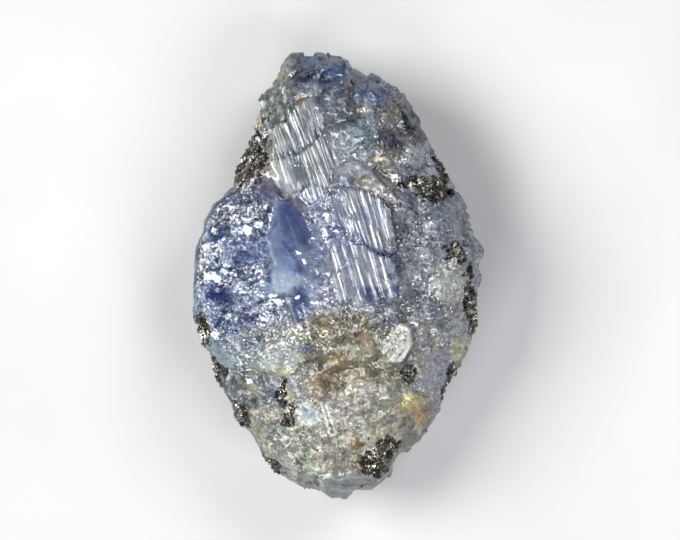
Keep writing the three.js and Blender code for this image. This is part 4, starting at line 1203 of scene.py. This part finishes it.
def lay_face_tints(paint, points, fine, on_top):
    """Lays on the flat faces' colours, with the plate's streaks and the facet's shades and clouds. The pale
    facet's and the plate's colours are partly painted sheen; the facet's lighter left edge is a painted
    highlight.
    """
    for name, (rgb, strength) in FACE_TINTS.items():
        paint.lay(rgb, strength * smooth(-0.25, 0.3, face_depth(fine, name)) * on_top)
    plate = PLATE_STRENGTH * (smooth(-0.06, 0.06, face_depth(points, "white plate")) * on_top)
    paint.lay(PLATE_TINT, plate)
    paint.lay(PLATE_STREAKS, plate * smooth(0.08, 0.22, streaked(points, 55, 1.4, 0.2, 85)))
    for *zone, rgb in FACE_SHADES:
        paint.lay(rgb, ellipse_weight(fine[:, 0], fine[:, 1], *zone, soft=0.7) * on_top)
    facet = smooth(-0.2, 0.3, face_depth(fine, "blue facet")) * on_top
    paint.lay(FACET_CLOUDS, 0.5 * facet * smooth(0.1, 0.45, fractal(points, 0.8, 96, octaves=4)))
    paint.lay(FACET_DEPTHS, 0.6 * facet * smooth(0.15, 0.5, fractal(points, 1.3, 97)))


def tint_at(points, hollow):
    """The stone's colour at each point, as linear RGB, with painted shade in its hollows and painted light on
    its crests.
    """
    x, y = stain_places(points)
    fine = warped(points, 0.7, 0.18, 76)
    on_top = points[:, 2] > RIM
    paint = Paint(len(points))
    lay_zones(paint, points, x, y)
    lay_face_tints(paint, points, fine, on_top)
    # The lines' colours: partly painted shade on ledges and cracks, and painted highlights on raised ridges
    # and lit edges.
    for line, half_width, _, rgb in LINES:
        distance = line_distance(fine[:, 0], fine[:, 1], line)
        near = 1 - smooth(0.4 * half_width, 1.4 * half_width, distance)
        paint.lay(rgb, LINE_STRENGTH * near * on_top)
    linear = (paint.colour / 255) ** GAMMA
    grey = linear.mean(axis=1, keepdims=True)
    # Painted shade: the upper side is darkened in its hollows and lightened on its crests, as light would
    # fall.
    shade = np.clip(1 - hollow / HOLLOW_DEPTH, *PAINTED_SHADE_LIMITS)[:, None]
    vivid = SATURATION + (BLOCK_SATURATION - SATURATION) * ellipse_weight(x, y, *BLOCK)
    return np.maximum(grey + (linear - grey) * vivid[:, None], DARKEST) * ALBEDO * shade


def face_places(points, name):
    """Where each point lies for a face's outline, pushed about so that the outline wanders or is jagged."""
    if name == "white plate":
        return points
    moved = warped(points, 1.1, 0.25, 33)
    if name in STRIAE:
        jag = 0.45 * streaked(points, STRIAE[name][0] + 180, 0.25, 9.0, 37)
        moved = moved + jag[:, None] * (*C_AXIS, 0)
    return moved


def lay_faces(points, on_top):
    """Puts the flat faces and their striae on the stone. Tells how calm and how striated each point is, how
    far across the striae it lies, and on which striated face."""
    calm, striated = np.zeros(len(points)), np.zeros(len(points))
    across, row = np.zeros(len(points)), np.zeros(len(points))
    deepest = np.full(len(points), -1.0)
    x, y = points[:, 0], points[:, 1]
    for name, (_, _, _, edge, calmness) in FACES.items():
        depth = face_depth(face_places(points, name), name)
        weight = smooth(-edge, edge, depth) * on_top
        plane = plane_height(*FACE_PLANES[name], x, y)
        if name in STRIAE:
            worn = smooth(0.0, 0.45, streaked(points, 90 + STRIAE[name][0], 2.2, 0.7, 90))
            place = striae_place(name, x, y)
            plane = plane + striae_height(name, place) * (1 - 0.8 * worn)
            striated = np.maximum(striated, weight * (1 - 0.6 * worn))
            here = depth > deepest
            across[here] = place[here]
            row[here] = list(STRIAE).index(name)
            deepest = np.maximum(deepest, depth)
        points[:, 2] += (plane - points[:, 2]) * weight
        calm = np.maximum(calm, weight * calmness)
    worn = smooth(0.12, 0.5, fractal(points, 1.4, 90)) * striated
    return calm * (1 - 0.5 * worn), striated * (1 - 0.5 * worn), across, row


def face_lie(lie, row, striated):
    """Lays the striated faces' directions along their planes; their striae are added by the material."""
    facing = np.zeros_like(lie)
    for k, name in enumerate(STRIAE):
        facing[row == k] = facing_of(FACE_PLANES[name][1])
    lie += (facing - lie) * smooth(0, 0.4, striated)[:, None]


def level_out(points, lie, faces, grains, on_top):
    """Turns the quiet places' small faces level, and takes most of their fine grain away."""
    moved = warped(points, 0.9, 0.3, 60)
    quiet = strongest(moved[:, 0], moved[:, 1], QUIET) * on_top
    lie += (np.array(QUIET_FACING) - lie) * 0.9 * quiet[:, None]
    faces *= 1 - 0.3 * quiet
    grains *= 1 - 0.7 * quiet


def calm_gem(points, lie, faces, grains, on_top):
    """Smooths the deep blue facet and its surroundings, which show few glints."""
    depth = np.maximum(face_depth(points, "blue facet"), face_depth(points, "pale facet"))
    weight = smooth(-0.6, 0.0, depth) * on_top
    lie += (facing_of(FACET_SLOPE) - lie) * weight[:, None]
    faces *= 1 - 0.3 * weight
    grains *= 1 - 0.65 * weight


def stone_points():
    """The stone's points and faces, the weights and facing that its material needs, and its hollows."""
    points, quads, triangles = build_skin()
    outward = point_normals(points, quads, triangles)
    top = slice(0, (CELLS[0] + 1) * (CELLS[1] + 1))
    on_top = np.zeros(len(points))
    on_top[top] = 1
    calm, striated, across, row = lay_faces(points, on_top)
    zones = zone_weights(points)
    lie = point_normals(points, quads, triangles)
    face_lie(lie, row, striated)
    add_cleavage(points, lie, zones, top, calm)
    rest = smooth(0.1, 1.2, points[:, 2]) * (1 - calm)
    points += outward * break_up(points, lie, zones, rest)[:, None]
    zones["faces"] *= 1 - 0.9 * calm
    zones["grains"] *= 1 - 0.8 * calm
    level_out(points, lie, zones["faces"], zones["grains"], on_top)
    calm_gem(points, lie, zones["faces"], zones["grains"], on_top)
    add_chips(points, lie, top, zones["faces"])
    add_lines(points, top)
    zones.update(striated=striated, across=across, row=row)
    hollow = np.zeros(len(points))
    hollow[top] = hollow_shade(points[top, 2])
    return points, quads, triangles, zones, hollow, lie


def in_cad_box(points):
    """The points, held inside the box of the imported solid."""
    low, high = (np.array(corner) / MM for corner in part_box("tanzanite_crystal"))
    return np.clip(points, low, high)


# ---- meshes ----
def linked(name, data):
    """A new object in the scene."""
    obj = bpy.data.objects.new(name, data)
    bpy.context.scene.collection.objects.link(obj)
    return obj


def mesh_object(name, points, quads, triangles, material, smooth_shaded=True):
    """A mesh with one material, from points in millimetres."""
    mesh = bpy.data.meshes.new(name)
    loops = np.concatenate([quads.ravel(), triangles.ravel()]).astype(np.int32)
    sizes = np.concatenate([np.full(len(quads), 4), np.full(len(triangles), 3)])
    starts = np.concatenate([[0], np.cumsum(sizes)[:-1]]).astype(np.int32)
    mesh.vertices.add(len(points))
    mesh.vertices.foreach_set("co", (points * MM).astype(np.float32).ravel())
    mesh.loops.add(len(loops))
    mesh.loops.foreach_set("vertex_index", loops)
    mesh.polygons.add(len(sizes))
    mesh.polygons.foreach_set("loop_start", starts)
    mesh.update(calc_edges=True)
    mesh.validate()
    mesh.polygons.foreach_set("use_smooth", np.full(len(mesh.polygons), smooth_shaded))
    mesh.materials.append(material)
    return linked(name, mesh)


def set_values(obj, name, kind, key, values):
    """Stores a value on each point of a mesh, for its material to read."""
    layer = obj.data.attributes.new(name, kind, "POINT")
    layer.data.foreach_set(key, values.astype(np.float32).ravel())


# ---- materials ----
class Nodes:
    """Short ways to add and join shader nodes."""

    def __init__(self, name):
        self.material = bpy.data.materials.new(name)
        self.material.use_nodes = True
        self.tree = self.material.node_tree
        self.tree.nodes.clear()

    def put(self, value, socket):
        """Links a socket to another, or gives it a constant."""
        if isinstance(value, bpy.types.NodeSocket):
            self.tree.links.new(value, socket)
        else:
            socket.default_value = value

    def add(self, kind, inputs=None, **settings):
        node = self.tree.nodes.new(kind)
        for key, value in settings.items():
            setattr(node, key, value)
        for key, value in (inputs or {}).items():
            self.put(value, node.inputs[key])
        return node

    def math(self, operation, *values):
        return self.add("ShaderNodeMath", dict(enumerate(values)), operation=operation).outputs[0]

    def times(self, a, b):
        return self.math("MULTIPLY", a, b)

    def mix(self, factor, a, b, blend="MIX"):
        node = self.add("ShaderNodeMix", {0: factor, 6: a, 7: b}, data_type="RGBA", blend_type=blend)
        return node.outputs[2]

    def ramp(self, value, low, high, to_low=0.0, to_high=1.0):
        return self.add("ShaderNodeMapRange", {0: value, 1: low, 2: high, 3: to_low, 4: to_high}).outputs[0]

    def vector(self, operation, a, b=(0, 0, 0), output="Vector"):
        return self.add("ShaderNodeVectorMath", {0: a, 1: b}, operation=operation).outputs[output]

    def scaled(self, a, factor):
        return self.add("ShaderNodeVectorMath", {0: a, "Scale": factor}, operation="SCALE").outputs["Vector"]

    def centred(self, colour):
        """A colour's channels as a vector from -0.5 to 0.5."""
        return self.vector("SUBTRACT", colour, (0.5, 0.5, 0.5))

    def place(self):
        """The point's place on the object, in metres."""
        return self.add("ShaderNodeTexCoord").outputs["Object"]

    def skin(self):
        """The mesh's own normal."""
        return self.add("ShaderNodeNewGeometry").outputs["Normal"]

    def weight(self, name):
        """A number that is stored on the mesh's points."""
        return self.add("ShaderNodeAttribute", attribute_name=name).outputs["Fac"]

    def noise(self, place, scale, detail, roughness=0.5, output=0):
        inputs = {"Vector": place, "Scale": scale, "Detail": detail, "Roughness": roughness}
        return self.add("ShaderNodeTexNoise", inputs).outputs[output]

    def cell_colour(self, place, scale):
        """A colour that is the same all over each small cell."""
        return self.add("ShaderNodeTexVoronoi", {"Vector": place, "Scale": scale}).outputs["Color"]

    def grey(self, value):
        return self.add("ShaderNodeCombineColor", {0: value, 1: value, 2: value}).outputs[0]

    def surface(self, **inputs):
        """Adds the shader and the output; an underscore in a name stands for a space."""
        named = {key.replace("_", " "): value for key, value in inputs.items()}
        shader = self.add("ShaderNodeBsdfPrincipled", named)
        return self.add("ShaderNodeOutputMaterial", {"Surface": shader.outputs[0]})


def facet_tilt(n, place, scale, amount):
    """A sideways push of the normal, the same all over each small cell."""
    return n.scaled(n.centred(n.cell_colour(place, scale)), amount)


def wandering(n, place):
    """The place, pushed about a little, so that borders drawn on it are not straight."""
    push = n.centred(n.noise(place, *WANDER, output="Color"))
    return n.vector("ADD", place, n.scaled(push, WANDER_REACH))


def slanted(n, place):
    """The place, drawn together so that cells laid on it come out long and slanting."""
    return n.add("ShaderNodeMapping", {
        "Vector": place,
        "Rotation": (0, 0, math.radians(-25)),
        "Scale": (1.45, 0.75, 1.0),
    }, vector_type="TEXTURE").outputs[0]


def painted_facet_shading(n, place):
    """Painted light and shade: each small face lighter or darker, from the same cell that tilts its normal.
    """
    colour = n.cell_colour(slanted(n, wandering(n, place)), SMALL_CELLS)
    level = n.vector("DOT_PRODUCT", colour, (0.6, 0.4, 0.0), "Value")
    return n.ramp(level, 0.2, 0.8, 0.7, 1.3)


def crack_net(n, place, scale):
    """One net of thin lines between small broken faces, from 0 to 1."""
    edge = n.add("ShaderNodeTexVoronoi", {"Vector": place, "Scale": scale}, feature="DISTANCE_TO_EDGE")
    return n.ramp(edge.outputs["Distance"], 0.02, 0.11, 1.0, 0.0)


def cracks(n, place):
    """Thin lines between the small broken faces, from 0 to 1; they come and go."""
    patchy = n.ramp(n.noise(place, *CRACK_PATCHES), 0.44, 0.56, 0.0, 0.35)
    in_gem = n.ramp(n.weight("gem"), 0.05, 0.2)
    in_gem = n.times(in_gem, n.ramp(n.noise(place, *GEM_CRACK_PATCHES), 0.4, 0.55, 0.5, 1.0))
    wide = crack_net(n, slanted(n, place), WIDE_CRACKS)
    narrow = n.times(crack_net(n, n.vector("MULTIPLY", place, (0.8, 1.2, 1.0)), NARROW_CRACKS), 0.8)
    return n.times(n.math("MAXIMUM", wide, narrow), n.math("MAXIMUM", patchy, in_gem))


def streaks(n, place, scale):
    """Noise in fine lines along the striae."""
    across = n.vector("DOT_PRODUCT", place, (*ACROSS, 0), "Value")
    along = n.vector("DOT_PRODUCT", place, (*C_AXIS, 0), "Value")
    spread = n.add("ShaderNodeCombineXYZ", {
        0: n.times(across, scale),
        1: n.times(along, scale / LINE_LENGTH),
    }).outputs[0]
    return n.noise(spread, 1.0, 1.0)


def stria_steps(n, across, start, ridges):
    """Slope of one face's striae, from the place across it."""
    span = sum(width for width, _ in ridges)
    share = n.ramp(across, start, start + span)
    node = n.add("ShaderNodeValToRGB", {0: share})
    node.color_ramp.interpolation = "CONSTANT"
    steps = node.color_ramp.elements
    steps.remove(steps[1])
    at = 0.0
    for width, rise in ridges:
        back = -rise * (1 - STRIA_FALL) / STRIA_FALL
        for place, slope in ((at, rise), (at + width * (1 - STRIA_FALL), back)):
            step = steps.new(place / span) if place > 0 else steps[0]
            value = 0.5 + 0.5 * max(-1.0, slope)
            step.color = (value, value, value, 1)
        at += width
    return n.times(n.ramp(node.outputs[0], 0.0, 1.0, -1.0, 1.0), n.math("LESS_THAN", share, 0.999))


def stria_tilt(n, place):
    """A push of the normal across the striae, line by line."""
    across, row = n.weight("across"), n.weight("row")
    fine = n.ramp(streaks(n, place, FINE_LINES), 0.4, 0.6, -0.13, 0.13)
    slope = n.math("ADD", fine, n.ramp(streaks(n, place, COARSE_LINES), 0.4, 0.6, -0.06, 0.06))
    for k, (_, _, start, ridges) in enumerate(STRIAE.values()):
        here = n.math("COMPARE", row, float(k), 0.5)
        slope = n.math("ADD", slope, n.times(stria_steps(n, across, start, ridges), here))
    return n.scaled((-ACROSS[0], -ACROSS[1], 0), n.times(slope, n.weight("striated")))


def stone_normal(n, place, graphite):
    """The surface normal, broken into small faces, fine grains and striae."""
    faces = n.weight("faces")
    wander = wandering(n, place)
    grainy = n.times(n.weight("grains"), n.ramp(n.noise(place, *GRAIN_PATCHES), 0.46, 0.58))
    lie = n.add("ShaderNodeAttribute", attribute_name="lie").outputs["Vector"]
    normal = n.vector("ADD", n.scaled(n.skin(), SKIN_SHARE), n.scaled(lie, LIE_SHARE))
    for tilt in (
        facet_tilt(n, wander, LARGE_CELLS, n.times(faces, 0.25)),
        facet_tilt(n, slanted(n, wander), SMALL_CELLS, n.times(faces, 0.3)),
        facet_tilt(n, wander, GRAIN_CELLS, n.math("ADD", n.times(faces, 0.15), grainy)),
        facet_tilt(n, wander, GRAPHITE_CELLS, n.ramp(graphite, 0.4, 0.9)),
        stria_tilt(n, place),
        n.scaled(CRACK_PUSH, n.times(cracks(n, wander), faces)),
    ):
        normal = n.vector("ADD", normal, tilt)
    return n.vector("NORMALIZE", normal)


def stone_lightness(n, place, fine, broad):
    """How much lighter or darker than its tint the stone is: grain by grain, and face by face as painted
    light and shade.
    """
    specks = n.noise(place, *SPECKS)
    level = n.times(n.ramp(fine, 0.3, 0.7, 0.65, 1.35), n.ramp(broad, 0.3, 0.7, 0.87, 1.13))
    level = n.times(level, n.ramp(specks, 0.35, 0.65, 0.68, 1.32))
    level = n.times(level, painted_facet_shading(n, place))
    texture = n.ramp(n.weight("faces"), 0.25, 0.65, 0.3, 1.0)
    return n.math("ADD", 1.0, n.times(texture, n.math("SUBTRACT", level, 1.0)))


def stone_material():
    """Glassy, milky or clear zoisite, quartz and calcite, with graphite."""
    n = Nodes("tanzanite")
    # The order of these nodes counts: the same nodes, with the tint made after the noises, render dark.
    place = n.place()
    tint = n.add("ShaderNodeAttribute", attribute_name="tint").outputs["Color"]
    gem, graphite, striated, wax = (n.weight(name) for name in ("gem", "graphite", "striated", "wax"))
    fine, broad = n.noise(place, *FINE_GRAIN), n.noise(place, *BROAD_GRAIN)

    stone = n.mix(1.0, tint, n.grey(stone_lightness(n, place, fine, broad)), "MULTIPLY")
    # Painted light and shade along the striae: thin darker and lighter lines in the base colour.
    painted_stria_lines = n.times(n.ramp(streaks(n, place, PAINTED_STREAK_LINES), 0.4, 0.5, 0.45, 1.05), striated)
    painted_stria_lines = n.math("ADD", painted_stria_lines, n.math("SUBTRACT", 1.0, striated))
    stone = n.mix(1.0, stone, n.grey(painted_stria_lines), "MULTIPLY")
    # Painted shade: the base colour is darkened along the cracks, bluer in the gem.
    shaded_cracks = n.times(cracks(n, wandering(n, place)), n.weight("faces"))
    crack_shade_tint = n.mix(n.ramp(gem, 0.15, 0.35), PAINTED_CRACK_SHADE, GEM_PAINTED_CRACK_SHADE)
    stone = n.mix(shaded_cracks, stone, n.mix(1.0, stone, crack_shade_tint, "MULTIPLY"))
    dark = n.mix(n.ramp(fine, 0.35, 0.65), GRAPHITE_DARK, GRAPHITE_GREY)
    base = n.mix(n.ramp(graphite, 0.15, 0.5), stone, dark)
    clear = n.times(gem, n.math("SUBTRACT", 0.75, n.times(graphite, 0.75)))
    dulled = n.times(n.math("MAXIMUM", wax, striated), 0.1)
    out = n.surface(
        Base_Color=base,
        Roughness=n.math("ADD", n.ramp(broad, 0.3, 0.7, 0.12, 0.25), dulled),
        IOR=ZOISITE_IOR,
        Metallic=n.ramp(graphite, 0.5, 0.9, 0.0, 0.6),
        Transmission_Weight=clear,
        Normal=stone_normal(n, place, graphite),
        Subsurface_Weight=0.7,
        Subsurface_Radius=(0.00025, 0.00028, 0.00036),
        Subsurface_Scale=1.0,
    )
    volume = n.add("ShaderNodeVolumeAbsorption", {"Color": GEM_ABSORPTION, "Density": GEM_DENSITY})
    n.put(volume.outputs[0], out.inputs["Volume"])
    return n.material


def graphite_material():
    """Dark, half-metallic scales, some of which are bright all over."""
    n = Nodes("graphite")
    place = n.place()
    grain, patch = n.noise(place, 5000.0, 3.0), n.noise(place, 900.0, 2.0)
    grey = n.mix(n.ramp(grain, 0.35, 0.65), SCALE_DARK, SCALE_GREY)
    n.surface(
        Base_Color=n.mix(n.ramp(patch, 0.47, 0.62, 0.0, 0.85), grey, SCALE_BRIGHT),
        Metallic=0.85,
        Roughness=n.ramp(grain, 0.3, 0.7, 0.18, 0.35),
        Normal=n.vector("NORMALIZE", n.vector("ADD", n.skin(), facet_tilt(n, place, SCALE_CELLS, 0.6))),
    )
    return n.material


def floor_material():
    """A plain pale floor with a faint mottle."""
    n = Nodes("floor")
    mottle = n.noise(n.place(), 40.0, 3.0)
    n.surface(Base_Color=n.mix(n.ramp(mottle, 0.3, 0.7), *FLOOR_TINTS), Roughness=0.7)
    return n.material


# ---- the scene ----
def settle(piece):
    """Makes a piece part of the stone's body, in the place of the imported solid."""
    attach(piece, "root")
    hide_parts("tanzanite_crystal")


def add_stone():
    """The stone itself. Returns its surface, for the scales to stand on."""
    points, quads, triangles, zones, hollow, lie = stone_points()
    points = in_cad_box(points)
    stone = mesh_object("tanzanite_stone", points, quads, triangles, stone_material())
    tint = np.concatenate([tint_at(points, hollow), np.ones((len(points), 1))], axis=1)
    set_values(stone, "tint", "FLOAT_COLOR", "color", tint)
    dull = strongest(points[:, 0], points[:, 1], DULL)
    zones["wax"] = np.max([zones["waxy"], BLOCK_WAX * zones["block"], dull], axis=0)
    for name in ("gem", "graphite", "faces", "grains", "striated", "across", "row", "wax"):
        set_values(stone, name, "FLOAT", "value", zones[name])
    set_values(stone, "lie", "FLOAT_VECTOR", "vector", lie)
    settle(stone)
    return BVHTree.FromPolygons(points.tolist(), quads.tolist() + triangles.tolist())


def scale_places(skin, rng):
    """Middles and outward directions of graphite scales, strewn over the graphite patches."""
    places, outward, shares = [], [], []
    for cx, cy, rx, ry, turn in GRAPHITE:
        a = math.radians(turn)
        for _ in range(int(SCALES_PER_AREA * math.pi * rx * ry)):
            spread, spin = math.sqrt(rng.random()), rng.random() * 2 * math.pi
            u, v = rx * spread * math.cos(spin), ry * spread * math.sin(spin)
            x, y = cx + u * math.cos(a) - v * math.sin(a), cy + u * math.sin(a) + v * math.cos(a)
            place, normal, _, _ = skin.ray_cast(Vector((x, y, RAY_START)), Vector((0, 0, -1)))
            if place is not None and place.z > SCALE_LOWEST:
                places.append(place)
                outward.append(normal)
                shares.append(1 - spread)
    places, outward = np.array(places), np.array(outward)
    kept = np.array(shares) * SCALE_CROWDING + raggedness(places) > SCALE_LEAST
    return places[kept], outward[kept]


def plates(places, outward, radius, thickness, rng):
    """Points and faces of thin six-sided plates, each a closed body."""
    count = len(places)
    aside = np.cross(outward, rng.normal(size=(count, 3)))
    aside /= np.linalg.norm(aside, axis=1, keepdims=True)
    beside = np.cross(outward, aside)
    spin = (np.arange(6) * math.pi / 3)[None, :] + rng.uniform(-0.25, 0.25, (count, 6))
    reach = radius[:, None] * rng.uniform(0.75, 1.1, (count, 6))
    along, across = (reach * np.cos(spin))[..., None], (reach * np.sin(spin))[..., None]
    flat = aside[:, None] * along + beside[:, None] * across
    half = outward[:, None] * thickness / 2
    middle = places[:, None]
    points = np.concatenate([middle + flat + half, middle + flat * SCALE_FLARE - half], axis=1)
    first = (np.arange(count) * 12)[:, None]
    quads = [[0, 1, 2, 3], [0, 3, 4, 5], [9, 8, 7, 6], [11, 10, 9, 6]]
    quads += [[k, 6 + k, 6 + (k + 1) % 6, (k + 1) % 6] for k in range(6)]
    return points.reshape(-1, 3), np.concatenate([first + np.array(quad) for quad in quads])


def add_graphite_scales(skin):
    """The graphite scales, as one joined mesh."""
    rng = np.random.default_rng(SCALE_SEED)
    places, outward = scale_places(skin, rng)
    outward = outward + rng.uniform(-SCALE_LEAN, SCALE_LEAN, outward.shape)
    outward /= np.linalg.norm(outward, axis=1, keepdims=True)
    radius = rng.uniform(*SCALE_RADIUS, len(places))
    points, quads = plates(places, outward, radius, SCALE_THICKNESS, rng)
    points, no_triangles = in_cad_box(points), np.zeros((0, 3), int)
    settle(mesh_object("graphite_scales", points, quads, no_triangles, graphite_material(), False))


def add_floor():
    """The plain floor that the stone lies on."""
    mesh = bpy.data.meshes.new("floor")
    corners = [(-1, -1), (1, -1), (1, 1), (-1, 1)]
    mesh.from_pydata([(x * FLOOR_HALF, y * FLOOR_HALF, 0) for x, y in corners], [], [(0, 1, 2, 3)])
    mesh.materials.append(floor_material())
    linked("floor", mesh)


def add_light(name, azimuth, size, power, colour):
    """A square soft light, facing the stone."""
    light = bpy.data.lights.new(name, "AREA")
    light.shape = "SQUARE"
    light.size = size
    light.energy = power
    light.color = colour
    obj = linked(name, light)
    a, e = math.radians(azimuth), math.radians(LIGHT_ELEVATION)
    away = Vector((math.cos(a) * math.cos(e), math.sin(a) * math.cos(e), math.sin(e)))
    obj.location = away * LIGHT_DISTANCE
    obj.rotation_mode = "QUATERNION"
    obj.rotation_quaternion = away.to_track_quat("Z", "Y")


def add_camera():
    """The camera, straight over the stone and as far off as its lens asks for."""
    camera = linked("camera", bpy.data.cameras.new("camera"))
    camera.data.lens = LENS
    camera.data.sensor_width = SENSOR_WIDTH
    distance = FRAME_WIDTH / 2 / (camera.data.sensor_width / 2 / camera.data.lens)
    camera.location = (AIM[0], AIM[1], AIM[2] + distance)
    camera.data.clip_start, camera.data.clip_end = 0.01, 20
    bpy.context.scene.camera = camera


def add_lights():
    """Four soft lights round the stone, and a dim, even sky."""
    for name, light in LIGHTS.items():
        add_light(name, *light)
    world = bpy.data.worlds.new("studio")
    world.use_nodes = True
    background = world.node_tree.nodes["Background"]
    background.inputs["Color"].default_value = WORLD_TINT
    background.inputs["Strength"].default_value = WORLD_STRENGTH
    bpy.context.scene.world = world


add_floor()
add_graphite_scales(add_stone())
add_lights()
add_camera()
bpy.context.scene.view_settings.view_transform = "Standard"
